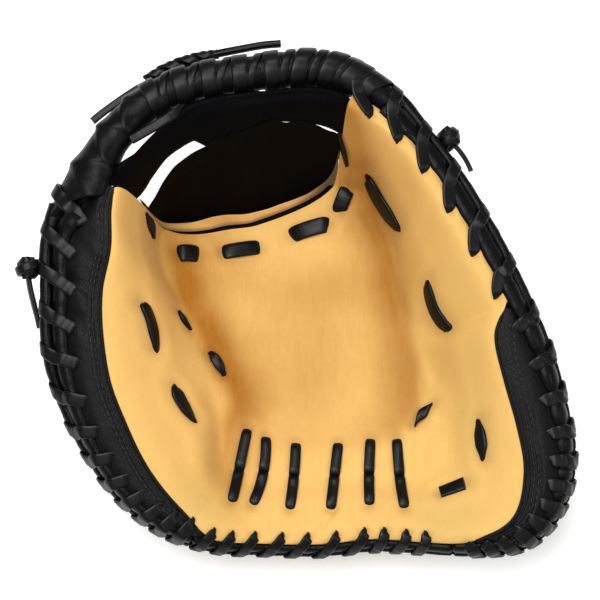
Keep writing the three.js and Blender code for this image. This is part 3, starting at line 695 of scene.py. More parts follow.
# Colours of the palm: as tanned, browned by work and by painted shade on the pocket's walls, dulled, and
# darkened by painted shade beside the laces and in the lace holes.
CREAM = "d9ac63"
BROWNED_AND_SHADED = "965f16"
DULLED = "c6a55f"
PAINTED_SHADE_BROWN = "6b431c"


def cowhide_palm():
    """Oil-tanned cowhide, left natural: matt and softly furred, cream on the pads, browned and finely
    wrinkled where the pocket has been worked, with painted shade browning its two walls and
    darkening it beside the laces and in the lace holes, and pores about 0.7 mm apart drawn at 0.9."""
    material, tree, shader = new_material("oil_tanned_cowhide", Roughness=0.68, Sheen_Weight=0.02,
                                          Sheen_Roughness=0.5, Specular_IOR_Level=0.13)
    place = object_place(tree)
    worked = stored(tree, "worked")
    streaks = clouds(tree, drawn_out(tree, place, 1, 0.14, 0.3), 2.2, 3, 0.3)
    fleck = clouds(tree, place, 1.2, 3)
    patch = respread(tree, clouds(tree, place, 24, 4), (0.35, 0.65), (-0.06, 0.06))
    streak = respread(tree, streaks, (0.42, 0.7), (0, 0.06))
    # Browning from the tan number: the worked pocket, and along its two walls partly painted shade.
    amount = plus(tree, plus(tree, stored(tree, "tan"), patch), times(tree, streak, worked))
    colour = blend(tree, amount, CREAM, BROWNED_AND_SHADED)
    colour = blend(tree, stored(tree, "olive"), colour, DULLED)
    # Painted shade beside the laces and in the lace holes.
    colour = blend(tree, stored(tree, "painted_shade"), colour, PAINTED_SHADE_BROWN)
    spot = respread(tree, fleck, (0.3, 0.7), (0.975, 1.02))
    final = add(tree, "ShaderNodeVectorMath", {"operation": "SCALE"}, {0: colour, "Scale": spot})
    tree.links.new(final.outputs["Vector"], shader.inputs["Base Color"])
    pores = add(tree, "ShaderNodeTexVoronoi", {"Scale": per_metre(0.9), "Randomness": 1}, {"Vector": place})
    creases = times(tree, respread(tree, streaks, (0.42, 0.62)), worked)
    fine = bumps(tree, pores.outputs["Distance"], 0.25, 0.08)
    soft = bumps(tree, fleck, 0.4, 0.14, fine)
    tree.links.new(bumps(tree, creases, 0.5, 0.18, soft, sunk=True), shader.inputs["Normal"])
    return material


def black_leather(name, low, high, grain, grain_deep, rough, crease_deep, gloss):
    """Chrome-tanned black cowhide: pebbled cells the given millimetres across, a dull wax shine that
    varies over the hide, and shallow creases."""
    material, tree, shader = new_material(name, Specular_IOR_Level=gloss)
    place = object_place(tree)
    cloudy = clouds(tree, place, 14, 4)
    tree.links.new(blend(tree, cloudy, low, high), shader.inputs["Base Color"])
    shine = respread(tree, cloudy, (0.3, 0.7), (rough - 0.08, rough + 0.1))
    tree.links.new(shine, shader.inputs["Roughness"])
    cells = add(tree, "ShaderNodeTexVoronoi", {"Scale": per_metre(grain), "feature": "DISTANCE_TO_EDGE"},
                {"Vector": place})
    pebbles = bumps(tree, respread(tree, cells.outputs["Distance"], (0, 0.25)), 0.6, grain_deep)
    creased = bumps(tree, clouds(tree, place, 6, 5, 1.2), 0.6, crease_deep, pebbles)
    tree.links.new(creased, shader.inputs["Normal"])
    return material


def rawhide_lace():
    """Oiled rawhide lace dyed black: smooth and waxy, with fine grooves along its length and creases
    across it every few millimetres where it has been pulled round the welts."""
    material, tree, shader = new_material("oiled_rawhide", Specular_IOR_Level=0.18)
    flow = stored(tree, "flow", "Vector")
    grooves = clouds(tree, drawn_out(tree, flow, 0.08, 1, 1), 0.8, 3)
    pulls = clouds(tree, drawn_out(tree, flow, 1, 0.25, 1), 2.5, 4)
    tree.links.new(blend(tree, pulls, "050506", "0b0c0d"), shader.inputs["Base Color"])
    tree.links.new(respread(tree, grooves, (0, 1), (0.24, 0.44)), shader.inputs["Roughness"])
    fine = bumps(tree, grooves, 0.5, 0.12)
    tree.links.new(bumps(tree, pulls, 0.5, 0.3, fine), shader.inputs["Normal"])
    return material


def split_binding():
    """Split-leather binding, tan and dull, darker towards its ends, with a short nap that shows as fine
    flecks.
    """
    material, tree, shader = new_material("split_leather_binding", Roughness=0.8, Sheen_Weight=0.2)
    place = object_place(tree)
    tan = blend(tree, clouds(tree, place, 9, 3), "bd8a42", "d9a75e")
    tree.links.new(blend(tree, stored(tree, "end_darkening"), tan, "4c3715"), shader.inputs["Base Color"])
    tree.links.new(bumps(tree, clouds(tree, place, 1.2, 4), 0.5, 0.2), shader.inputs["Normal"])
    return material


def waxed_thread():
    """Waxed nylon thread, black, with a tight twist drawn 0.5 mm apart."""
    material, tree, shader = new_material("waxed_thread", Base_Color=srgb("0c0c0d"), Roughness=0.5)
    twist = clouds(tree, object_place(tree), 0.5, 1)
    tree.links.new(bumps(tree, twist, 0.4, 0.1), shader.inputs["Normal"])
    return material


def studio_floor():
    """White acrylic light table: matt, and glowing weakly."""
    material, tree, shader = new_material("light_table", Roughness=0.9, Emission_Strength=0.3,
                                          Emission_Color=(1, 1, 1, 1))
    white = blend(tree, clouds(tree, object_place(tree), 60, 2), "f4f4f2", "f7f7f5")
    tree.links.new(white, shader.inputs["Base Color"])
    return material


COWHIDE = cowhide_palm()
SHELL = black_leather("chrome_tanned_shell", "060606", "0d0d0c", 1.3, 0.16, 0.5, 0.4, 0.14)
WEB_HIDE = black_leather("chrome_tanned_web", "020203", "040406", 1.1, 0.14, 0.5, 0.15, 0.035)
ROLL_HIDE = black_leather("rolled_cowhide", "050506", "0a0b0c", 1.4, 0.07, 0.32, 0.3, 0.11)
RAWHIDE = rawhide_lace()
BINDING = split_binding()
THREAD = waxed_thread()


def set_camera():
    """Camera aimed at the pocket from the heel side, as the photograph is."""
    data = bpy.data.cameras.new("camera")
    data.lens, data.sensor_width = CAMERA["lens"], CAMERA["sensor"]
    data.clip_start, data.clip_end = 0.1, 20
    lens = bpy.data.objects.new("camera", data)
    bpy.context.scene.collection.objects.link(lens)
    tip = np.radians(CAMERA["elevation"])
    back = Vector((0, -np.cos(tip), np.sin(tip)))
    lens.location = Vector(CAMERA["target"]) * MM + back * CAMERA["distance"] * MM
    lens.rotation_mode = "QUATERNION"
    lens.rotation_quaternion = (-back).to_track_quat("-Z", "Y")
    bpy.context.scene.camera = lens


def long_lace_end():
    """The roll lace's free end: a flat lace along its route beyond the wound lace."""
    route = np.array(ROLL_TAIL)
    reach = lace_reach(route[:, 0])
    points = curve_through(on_rim(route[:, 0], reach + route[:, 1], route[:, 2]), 6)
    along = np.interp(np.linspace(0, 1, len(points)), np.linspace(0, 1, len(route)), route[:, 0])
    body, flow = strip(points, points - rim_frame(along)[0], *ROLL_TAIL_SECTION, 14)
    cord = piece("roll_lace_end", outward(body), RAWHIDE, ("roll_tail",), {"flow": flow})


def set_studio():
    """A light table under the mitt, a broad soft light high over the thumb's side, weak ones from the
    finger's side and the heel, a small one beyond the web, and a pale sky all round."""
    size = 3.0
    grid = np.array([[-1, -1, 0], [1, -1, 0], [1, 1, 0], [-1, 1, 0]]) * size
    mesh = bpy.data.meshes.new("floor")
    mesh.from_pydata((grid - [0, 0, 0.0004]).tolist(), [], [(0, 1, 2, 3)])
    mesh.materials.append(studio_floor())
    floor = bpy.data.objects.new("floor", mesh)
    bpy.context.scene.collection.objects.link(floor)
    lights = [("key", (-0.3, -0.1, 1.5), 1.0, 22), ("fill", (1.1, -0.35, 1.1), 0.7, 4),
              ("front", (-0.2, -1.0, 1.2), 0.9, 3), ("web", (0.05, 0.75, 1.3), 0.35, 4)]
    for name, place, width, watts in lights:
        lamp = bpy.data.lights.new(name, "AREA")
        lamp.size, lamp.energy = width, watts
        holder = bpy.data.objects.new(name, lamp)
        holder.location = place
        holder.rotation_mode = "QUATERNION"
        holder.rotation_quaternion = (Vector((0, 0, 0.05)) - Vector(place)).to_track_quat("-Z", "Y")
        bpy.context.scene.collection.objects.link(holder)
    world = bpy.data.worlds.new("studio")
    world.use_nodes = True
    world.node_tree.nodes["Background"].inputs["Color"].default_value = (1, 1, 1, 1)
    world.node_tree.nodes["Background"].inputs["Strength"].default_value = 0.35
    bpy.context.scene.world = world
    bpy.context.scene.view_settings.view_transform = "Standard"


def body_angles():
    """Angles of the palm's and back's sections: half a degree apart, closer at the web's two tips."""
    spans = [(0, 79.5, 0.5), (80, 85.5, 0.12), (86, 143.5, 0.5), (144, 152, 0.25), (152.5, 359.5, 0.5)]
    return np.concatenate([np.arange(a, b + 1e-6, step) for a, b, step in spans])


def padded_palm():
    """The palm. Its top follows the front and its relief, its edge rolls over in a quarter round, and
    its underside is the plain padding that the hand meets."""
    angles = body_angles()
    edge = palm_radius(angles)
    _, _, tilt = front_edge(angles)
    open_side = np.where(in_web(angles), 0, 1 - ease(rim("wall", angles), 0, 3))
    shares = np.concatenate([np.linspace(0.012, 0.9, 84), np.linspace(0.9, 1, 18)[1:]])[:, None]
    radius = shares * edge
    x, y = level_place(angles, radius)
    fade = 1 - ease(shares, 0.97, 1)
    height = front(angles, radius) + relief(x, y) * fade
    top = polar(angles, radius, height)
    last = top[-1]
    out = np.stack([*level_place(angles, 1), 0 * angles], 1)
    lean = (tilt * open_side)[:, None]
    level = out * np.cos(lean) - [0, 0, 1] * np.sin(lean)
    down = -out * np.sin(lean) - [0, 0, 1] * np.cos(lean)
    reach = (0.35 + 2.3 * open_side)[:, None]
    turn = np.linspace(0, np.pi / 2, 7)[1:, None, None]
    rolled = last + level * reach * np.sin(turn) + down * PALM_ROLL * (1 - np.cos(turn))
    foot = rolled[-1:] + down * (PALM_EDGE - PALM_ROLL)
    under = []
    for share in UNDER_SHARES:
        under.append(polar(angles, share * edge, front(angles, share * edge) - palm_pad(angles, share)))
    rings = np.concatenate([top, rolled, foot, np.stack(under)])
    body = tube(rings)
    body[0][-2] = [*POCKET, float(surface(np.array([0.01]), np.array([0.01]))[0])]
    body[0][-1] = [*POCKET, POCKET_FLOOR - PALM_PAD]
    return outward(body), palm_tones(body[0])


# Dulled patches of the palm, then browned ones: place from the middle of the pocket, half sizes and
# strength.
DULL = [(70, 10, 26, 60, 0.4), (80, -56, 20, 36, 0.4), (60, -96, 26, 16, 0.7), (-56, -90, 16, 14, 0.75)]
TANNED = [
    (-4, -8, 30, 36, 0.44), (0, 28, 30, 14, 0.32), (-46, 38, 16, 15, 0.35), (-54, 54, 16, 8, 0.2),
    (-44, -78, 9, 14, 0.25), (-18, -52, 14, 8, 0.15), (16, 100, 6, 10, 0.4),
]

# Browned walls of the pocket, partly the leather's own browning and partly painted shade where the
# steep walls turn from the light: a line down each, its half width on the thumb's side and on the
# finger's side, and its strength at the line's points.
SHADED_BROWN_WALLS = [
    ((-74, 58, -70, 42, -67, 30, -62, 16, -54, 3, -46, -14, -38, -30, -42, -46, -46, -66, -48, -82), 8, 15,
     (0.55, 0.9, 1.0, 0.95, 0.98, 0.95, 0.85, 0.66, 0.5, 0.3)),
    ((18, 92, 24, 78, 30, 62, 36, 46, 40, 28, 44, 8, 48, -12, 47, -33, 38, -45, 22, -52), 16, 6,
     (0.65, 0.8, 0.92, 0.92, 0.9, 0.85, 0.9, 0.82, 0.55, 0.2)),
]


def palm_tones(points):
    """Numbers on the palm's points: how browned it is (the worked pocket, most along its two walls,
    where the browning is partly painted shade), how dulled towards the rim, how much painted shade
    darkens it (beside the laces and round the whip lace's holes), and how finely wrinkled."""
    x, y = points[:, 0] - POCKET[0], points[:, 1] - POCKET[1]
    ratio = np.hypot(x, y) / rim("crease", np.degrees(np.arctan2(y, x)))
    pocket = (1 - ease(ratio, 0.8, 1.3)) * ease(y, -66, -38)
    tan = spots(x, y, TANNED)
    # Along the pocket's walls the browning is partly painted shade.
    for path, thumb_width, finger_width, amounts in SHADED_BROWN_WALLS:
        gap, side, share = beside_line(x, y, path)
        strength = np.interp(share, np.linspace(0, 1, len(amounts)), amounts)
        width = np.where(side > 0, finger_width, thumb_width)
        tan = tan + strength * bell(gap, width) * (1 - 0.6 * np.clip(tan, 0, 1))
    # Painted shade: under the edges of the palm laces and in the whip lace's holes.
    painted_shade = 0 * x
    for _, width, *path in PALM_LACES:
        gap, _, _ = beside_line(x, y, path)
        painted_shade = np.maximum(painted_shade, 0.16 * np.exp(-((gap / (0.6 * width)) ** 4)))
    for hole in LACE_HOLES:
        painted_shade = np.maximum(painted_shade, 0.35 * bell(np.hypot(x - hole[0], y - hole[1]), 2.4))
    worked = np.clip(pocket * ease(y, -60, -10) + 0.4 * bell(y + 92, 14) + 0.15, 0, 1)
    return {"tan": np.clip(tan, 0, 1), "olive": np.clip(spots(x, y, DULL), 0, 1), "painted_shade": painted_shade,
            "worked": worked}


def spots(x, y, patches):
    """Sum of oval bell shapes, each with its middle, half sizes and strength."""
    total = 0 * x
    for middle_x, middle_y, wide, tall, amount in patches:
        total = total + amount * bell(x - middle_x, wide) * bell(y - middle_y, tall)
    return total


def edge_line(angles, inward):
    """The palm's seam on a side wall, as points the given distance towards the rim from it."""
    radius = palm_radius(angles) + inward * slant(angles)
    return polar(angles, radius, front(angles, radius))


# Grooves along each side wall: distance from the palm's seam and depth.
SIDE_GROOVES = {
    "side_wall_thumb": [(3.8, 0.55), (5.6, 0.3)],
    "side_wall_finger": [(2.4, 0.5), (5, 0.5), (7.6, 0.5), (10, 0.25)],
}


def side_wall(name, start, end):
    """Black wall between the piped seam and the rim: the front's height over the wall's width, swelling
    up to 1.2 mm between its edges, grooved beside the seam and creased across near the web."""
    angles = np.linspace(start, end, int((end - start) * 2.2))
    shares = np.linspace(0, 1, 44)[None, :]
    low = palm_radius(angles)[:, None] + GAP
    edge = front_edge(angles)[0][:, None]
    radius = low + (edge + WALL_TUCK - low) * shares
    across = (radius - low) / slant(angles)[:, None]
    width = np.maximum(rim("wall", angles), 0.5)[:, None]
    tilt = np.radians(rim("tilt", angles))[:, None]
    height = front(angles[:, None], radius) - np.maximum(radius - edge, 0) * np.tan(tilt)
    swell = ease(width, 2, 10) * WALL_SWELL * np.sin(np.pi * np.clip(shares, 0, 1)) ** 1.5
    squeeze = np.clip(width / 13, 0.4, 1)
    groove = 0 * across
    for place, deep in SIDE_GROOVES[name]:
        groove = groove - deep * bell(across - place * squeeze, 0.55 * squeeze)
    if name == "side_wall_finger":
        groove = groove * (1 - ease(angles, 334, 346))[:, None]
    x, y = level_place(angles[:, None], radius)
    slope = x * 0.55 + y * 0.84
    near_web = stretch(angles, 150, 160, 178, 196) * (name == "side_wall_thumb")
    crumple = noise(slope, x * 0.25, 4.2, 8) * np.sin(np.pi * shares) * near_web[:, None]
    slow = noise(x, y, 12, 9) * 0.35 * np.sin(np.pi * shares)
    height = height + (swell + groove * ease(width, 1.5, 5) + 1.8 * crumple + slow) * (shares < 1)
    upper = polar(angles[:, None], radius, height)
    lean = tilt * shares
    a = np.radians(angles)[:, None]
    back = np.stack([-np.sin(lean) * np.cos(a), -np.sin(lean) * np.sin(a), -np.cos(lean)], -1)
    piece(name, outward(slab(upper, upper + back * (LEATHER - 0.4))), SHELL, (name,))


def piping(name, start, end):
    """Thin round piping along the seam, half sunk between the cream and the black."""
    angles = np.linspace(start, end, int((end - start) * 2))
    line = edge_line(angles, 0.3) + [0, 0, 0.25]
    heading = unit(np.gradient(line, axis=0))
    side = unit(np.cross(heading, [0, 0, 1.0]))
    up = np.cross(side, heading)
    turn = ring_corners(10)[None, :, None]
    half = PIPING_HALF * (0.35 + 0.65 * both_ends(np.linspace(0, 1, len(angles)), 0.04))
    rings = line[:, None] + half[:, None, None] * (side[:, None] * np.cos(turn) + up[:, None] * np.sin(turn))
    piece(name, outward(tube(rings)), SHELL)


def stitches(line, normal, long=2.7, gap=0.9, thick=0.5):
    """A row of stitches along a line: each is a small spindle (a sine profile of six-sided rings)
    lying on the leather with its ends sunk into it."""
    length = run(line)
    starts = np.arange(0.5, length[-1] - long, long + gap)
    share = np.linspace(0, 1, 6)
    at = starts[:, None] + long * share
    point = np.stack([np.interp(at, length, line[:, k]) for k in range(3)], -1)
    lift = np.stack([np.interp(at, length, normal[:, k]) for k in range(3)], -1)
    point = point + lift * (0.26 * np.sin(np.pi * share) - 0.12)[None, :, None]
    heading = unit(point[:, -1:] - point[:, :1])
    side = unit(np.cross(heading, lift))
    turn = ring_corners(6)
    size = (thick / 2 * np.sin(np.pi * (0.12 + 0.76 * share)) ** 0.5)[None, :, None, None]
    ring = side[:, :, None] * np.cos(turn)[:, None] + lift[:, :, None] * np.sin(turn)[:, None]
    rings = point[:, :, None] + size * ring
    return [outward(tube(one)) for one in rings]


# Rows of stitching: the wall's start and end, and the rows' distances from the seam. STITCH_SUNK is
# how far they lie below the wall's swell.
STITCH_ROWS = [(156, 236, (3.8, 5.6)), (311, 358, (5, 7.6))]
STITCH_SUNK = 0.35


def seam_stitching():
    """Two rows of stitching on each side wall, lying in its grooves."""
    rows = []
    for start, end, places in STITCH_ROWS:
        angles = np.linspace(start, end, 400)
        for inward in places:
            line = edge_line(angles, inward + GAP)
            tangent = unit(np.gradient(line, axis=0))
            radius = palm_radius(angles) + (inward + GAP) * slant(angles)
            share = np.clip(inward / np.maximum(rim("wall", angles), 6), 0, 1)
            swell = ease(rim("wall", angles), 2, 10) * WALL_SWELL * np.sin(np.pi * share) ** 1.5
            line = line + np.array([0, 0, 1]) * (swell - STITCH_SUNK)[:, None]
            slope = (front(angles, radius + 1) - front(angles, radius - 1)) / 2
            a = np.radians(angles)
            normal = unit(np.stack([-slope * np.cos(a), -slope * np.sin(a), 1 + 0 * a], -1))
            normal = unit(normal - tangent * (normal * tangent).sum(-1, keepdims=True))
            rows += stitches(line, normal)
    piece("seam_stitching", joined(rows), THREAD)


# The inner and the outer welt: place of the middle across, what a side wall and the plump part add,
# half width with the same two, and thickness, all in half widths or half thicknesses of the pair.
WELT_ROLLS = [(-0.55, -0.6, 0.45, 0.9, 0.08, 0.4, 0.97), (0.78, -0.15, -0.1, 0.62, 0.12, -0.34, 0.88)]


def welts(name, start, end, crossings):
    """The pair of rolled welts: a broad roll inside and a narrower one outside. The inner one is broader
    still beside a wall and along the finger side's cream edge. Both are nipped where a turn of lace
    crosses, most in the plump part."""
    angles = np.linspace(start - 0.3, end + 0.3, int((end - start) * 3))
    fat, wall = plump(angles), walled(angles)
    width, through = rim("welt", angles), rim_through(angles) * (1 + 0.48 * fat)
    share = np.linspace(0, 1, len(angles))
    close = np.sqrt(np.clip(np.minimum(share, 1 - share) * len(angles) / 2, 0.2, 1))
    millimetre = 180 / np.pi / rim("radius", angles)
    nearest = np.abs(angles[:, None] - crossings).min(1)
    nip = 1 - (0.09 + 0.18 * fat) * bell(nearest, 3.6 * millimetre)
    turn = ring_corners(22)
    rolls = []
    bare = (1 - wall) * (name == "rim_welt_finger")
    for k, row in enumerate(WELT_ROLLS):
        middle = row[0] + row[1] * wall + row[2] * fat - 0.2 * (k == 0) * bare
        half = row[3] + row[4] * wall + row[5] * fat + 0.2 * (k == 0) * bare
        wobble = nip * close * (1 + 0.05 * noise(angles, 0 * angles + 7 * k, 1.6, 20 + k))
        out = (middle * width * (0.6 + 0.4 * nip))[:, None] + (half * width * wobble)[:, None] * np.cos(turn)
        up = row[6] * (through * wobble)[:, None] * np.sin(turn)
        rolls.append(outward(tube(on_rim(angles[:, None] + 0 * turn, out, up))))
    piece(name, joined(rolls), ROLL_HIDE, (name,))


# One turn of whip lace, from the hole in the leather over the welts and back under them. Each row
# starts with the share of the pitch moved along, plain and on the cream finger side. On the leather
# follow the share of the bite, the height above the leather and what a side wall adds to it; on the
# welts the place across in half widths and in millimetres, and the height in half thicknesses and
# in millimetres.
TURN_ON_LEATHER = [
    (0.0, 0.0, 1.0, -1.6, 0.0), (0.05, 0.1, 0.93, 0.6, 0.4), (0.2, 0.34, 0.52, 1.4, 1.2),
    (0.33, 0.49, 0.16, 2.5, 1.6),
]
TURN_ON_WELTS = [
    (0.46, 0.58, -0.7, 0, 0.95, 0.8), (0.55, 0.64, -0.1, 0, 0.9, 0.9), (0.64, 0.69, 0.5, 0, 0.9, 0.9),
    (0.73, 0.74, 1.02, 0.45, 0.5, 0.6), (0.79, 0.79, 1.1, 0.8, -0.4, -0.3), (0.86, 0.86, 0.5, 0, -1, -0.9),
    (0.92, 0.92, -0.4, 0, -1, -0.9), (0.97, 0.97, -1, -2, -0.6, -2),
]


def whip_lace(name, width, lean, narrow, holes):
    """Whip lace: the same turn at each hole along the rim. Its hole lies a bite inside the welts, then
    it crosses the leather slantwise, goes over both welts, down outside them and back underneath,
    where it meets the next hole. Gives back the angles where the turns cross the welts."""
    holes = np.array(holes, float)
    base = np.arange(len(holes))
    points, normals = [], []
    hooked = (1 - walled(holes)) * (np.sin(np.radians(holes)) > 0)
    for plain, finger, share, lift, more in TURN_ON_LEATHER:
        angle = hole_angle(holes, base - lean * (plain + (finger - plain) * hooked))
        place = on_front(angle, rim("welt", angle) + bite_depth(holes) * share)
        facing = unit(rim_frame(angle)[3] + [0, 0, 0.6])
        points.append(place + facing * (lift + more * walled(angle))[:, None])
        normals.append(facing)
    for plain, finger, across, beyond, tall, above in TURN_ON_WELTS:
        angle = hole_angle(holes, base - lean * (plain + (finger - plain) * hooked))
        half, through = rim("welt", angle), rim_through(angle) * (1 + 0.3 * plump(angle))
        middle, _, out, up = rim_frame(angle)
        u, v = half * across + beyond, through * tall + above
        points.append(middle + out * u[:, None] + up * v[:, None])
        normals.append(unit(out * (u / half**2)[:, None] + up * (v / through**2)[:, None]))
    points, normals = np.stack(points, 1), np.stack(normals, 1)
    strips = []
    for k in range(len(holes)):
        path = curve_through(points[k], 5)
        facing = unit(curve_through(normals[k], 5))
        strips.append(strip(path, facing, width, LACE_THICK, 12, narrow, 0.14))
    laces(name, strips)
    return hole_angle(holes, base - lean * 0.62)


# Pleats of the roll's cover near the thumb: angle, how far each slants across the roll, and height.
PLEATS = [(131.5, 2.5, 0.5), (135.5, -3, 0.8), (139.5, 2, 0.6), (143.5, -3.5, 0.9), (148, 3, 0.6),
          (152.5, -3, 0.8)]


# How far the roll's cover flares inwards over the thumb tip, in millimetres at each angle.
CUFF_ANGLES = (136, 141, 146, 150, 153.5, 158, 164)
CUFF_FLARE = (0, 0.8, 3.8, 7.6, 9.4, 5.8, 1.5)


def web_roll():
    """The padded roll over the web: a round bar of smooth leather. Over the thumb tip it is pleated and
    flares inwards into a slanting cuff that laps over the tip and the inner welt."""
    angles = np.linspace(ROLL[0] - 4, ROLL[1] + 0.5, 320)
    share = np.linspace(0, 1, len(angles))
    turn = ring_corners(48)
    cuff = ease(angles, 144, 157)[:, None]
    skewed = angles[:, None] + 5.5 * cuff * np.cos(turn)
    close = np.sqrt(1 - (1 - np.clip(np.minimum(share, 1 - share) / 0.014, 0, 1)) ** 2 * 0.98)[:, None]
    swell = 0.6 * cuff * ease(angles, 150, 158)[:, None]
    for place, lean, tall in PLEATS:
        away = skewed - place - lean * np.cos(turn)
        swell = swell + tall * bell(away, np.where(away > 0, 0.5, 1.9))
    uneven = 1 + 0.02 * noise(angles, 0 * angles, 2.2, 31)[:, None]
    half = (rim("welt", skewed) * uneven + swell) * close
    through = (rim_through(skewed) * uneven + swell) * close
    inner = (0.5 - 0.5 * np.cos(turn)) * np.interp(skewed, CUFF_ANGLES, CUFF_FLARE)
    rings = on_rim(skewed, half * np.cos(turn) - inner, through * np.sin(turn))
    piece("roll_cover", outward(tube(rings)), ROLL_HIDE, ("web_roll",))


# Angles of the broad bands of lace round the roll.
BANDS = (128.3, 121.6, 115.3, 108.3, 100.8, 93.3, 86.2, 80.6, 75.6)


# Strap across the gap under the roll, and the short free end outside it: angle, millimetres outwards
# and up.
WEB_STRAP = [
    (138.6, -10.4, 1), (136.9, -12.1, 1), (135, -13.6, 1), (133.2, -14.8, 1), (131.3, -15.6, 1),
    (129.4, -16, 0.9), (127.5, -15.9, 0.6), (125.2, -15, 0), (122.6, -12.5, -1.5),
]
SHORT_END = [(126.5, 7.6, 3), (128.7, 9, 2.6), (131, 9.9, 2.2), (133.5, 11, 2), (136, 12.2, 2),
             (138.2, 13.5, 2), (140.3, 14.6, 2)]


def roll_wraps():
    """The lace wound round the roll: broad bands across it, leaning more towards the finger, and
    between them narrower turns that slant to the next hole. Each turn goes right round (cosine
    outwards, sine up). A strap and a free end of the same lace lie on the roll's two sides."""
    turn = np.linspace(0, 2 * np.pi, 49)
    c, s = np.cos(turn)[:, None], np.sin(turn)[:, None]
    rounds = [(band, 8, 0.3 + 1.5 * (band < 98), 0.75) for band in BANDS]
    rounds += [((a + b) / 2, 4, 1.9, 0.4) for a, b in zip(BANDS[:-1], BANDS[1:])]
    strips = []
    for middle_angle, width, lean, room in rounds:
        angle = middle_angle - lean * np.cos(turn)
        half, through = rim("welt", angle) + room, rim_through(angle) + room
        middle, _, out, up = rim_frame(angle)
        path = middle + out * half[:, None] * c + up * through[:, None] * s
        strips.append(strip(path, unit(out * c + up * s), width, LACE_THICK))
    for route, width in ((WEB_STRAP, 4.8), (SHORT_END, 3.8)):
        angle, out, up = np.array(route).T
        path = curve_through(on_rim(angle, out, up), 6)
        strips.append(strip(path, np.broadcast_to([0, -0.3, 1.0], path.shape), width, 1.8))
    laces("roll_lace", strips)


def knot_with_end(name, angle, ball, end_angle, end_out):
    """A lace knot outside the rim: a small core wound by flat turns on great circles that cross each
    other, and its cut end hanging beside the rim."""
    middle, along, out, up = (v[0] for v in rim_frame(np.array([float(angle)])))
    reach = lace_reach(angle) + ball * 0.8
    centre = middle + out * reach
    core = centre + along * np.linspace(-0.85, 0.85, 9)[:, None] * ball
    strips = [strip(core, np.broadcast_to(up, core.shape), 1.5 * ball, 1.5 * ball, 16, 0.6, 0.4)]
    t = np.linspace(0, 2 * np.pi, 41)[:, None]
    for lean, size in ((0.35, 0.9), (-0.75, 0.8), (1.45, 0.74)):
        level = out * np.cos(lean) + along * np.sin(lean)
        path = centre + size * ball * (np.cos(t) * up + np.sin(t) * level)
        strips.append(strip(path, unit(path - centre), 4.6, 1.7))
    share = np.linspace(0, 1, 7)
    beyond = reach + (end_out - reach) * ease(share, 0, 1) + 1.2 * np.sin(np.pi * share)
    tail = curve_through(on_rim(angle + (end_angle - angle) * share, beyond, -2 * share), 5)
    _, _, o, u = rim_frame(angle + (end_angle - angle) * np.linspace(0, 1, len(tail)))
    strips.append(strip(tail, unit(o + 0.8 * u), 5, 2.4, 10, 0.3, 0.5))
    laces(name, strips)


def roll_knot():
    """The roll lace's end knot: two strands twisted round each other along the roll's outside, drawn
    out into the free end."""
    angles = np.linspace(127.5, 112.8, 70)
    share = np.linspace(0, 1, 70)
    middle = on_rim(angles, lace_reach(angles) + 2.9, 3 * share)
    _, _, out, up = rim_frame(angles)
    strips = []
    for phase in (0, np.pi):
        turn = (phase + share * 4.4 * np.pi)[:, None]
        swing = (1.9 * np.sin(np.pi * (0.1 + 0.82 * share)) ** 0.7)[:, None]
        offset = out * np.cos(turn) + up * np.sin(turn)
        strips.append(strip(middle + offset * swing, unit(offset), 5, 3, taper=0.25))
    laces("roll_knot", strips)


# Laces on the palm that narrow at their ends more than the rest, or not at all: how much, and over
# which share of their length.
NARROW_LACES = {
    "thumb_lace_1": (0.4, 0.3), "thumb_lace_2": (0.8, 0.5), "thumb_lace_3": (0.35, 0.3),
    "thumb_lace_4": (0.5, 0.35), "finger_lace_1": (0.35, 0.25), "finger_lace_2": (0.3, 0.25),
    "finger_lace_3": (0.85, 0.5), "finger_lace_4": (0.65, 0.4), "finger_lace_5": (0, 0.1),
}


def palm_lace(name, width, *points):
    """A lace on the palm: it comes out of one hole, arches 1.6 mm over the leather and goes into the
    next, its ends 1.9 mm deep, along the quadratic curve through its three points. The six heel laces
    dip again at their middle hole, and a lace that isn't narrowed at all lies flat, cut off square.
    Where the leather is hollow across the lace, it rests on the hollow's two sides."""
    start, middle, end = np.array(points, float).reshape(-1, 2)
    t = np.linspace(0, 1, 31)[:, None]
    path = (1 - t) ** 2 * start + 2 * t * (1 - t) * (2 * middle - (start + end) / 2) + t**2 * end
    share = t[:, 0]
    narrow, tip = NARROW_LACES.get(name, (0.12, 0.08))
    arch = np.sin(np.pi * share) ** 0.3
    if name.startswith("heel"):
        arch = np.minimum(arch, 0.42 + 0.58 * ease(np.abs(share - 0.5), 0, 0.07))
    step = np.gradient(path, axis=0)
    side = np.column_stack([-step[:, 1], step[:, 0]]) / np.linalg.norm(step, axis=1)[:, None] * 0.42 * width
    flat = surface(path[:, 0], path[:, 1])
    left = surface(*(path + side).T)
    right = surface(*(path - side).T)
    flat = np.maximum(flat, (left + right) / 2)
    lift = 0.3 + 1.3 * arch - 2.2 * (1 - arch) if narrow else 0.5
    line = np.column_stack([path + POCKET, flat + lift])
    rise = ((left - right) / (0.84 * width))[:, None] * (side / np.linalg.norm(side, axis=1)[:, None])
    normal = unit(np.column_stack([-rise, np.ones(len(path))]))
    laces(name, [strip(line, normal, 1.12 * width, 2.2, 14, narrow, tip)])


# Short leaves of lace where the palm turns down into the web: name, the way the leather faces there,
# width, and points from the middle of the pocket.
TIP_LACES = [
    ("tip_lace_finger", (-0.8, -0.3, 0.5), 4,
     (11.7, 88.8, 95.8, 12.7, 86.6, 89.7, 13.8, 84.8, 84.1, 14.9, 83.1, 77.9, 16, 81.6, 71.4)),
    ("tip_lace_thumb", (0.7, -0.4, 0.6), 5,
     (-84.3, 53.6, 78, -83, 51.4, 73, -81.9, 49.2, 67.7, -81.2, 46, 63.5)),
]


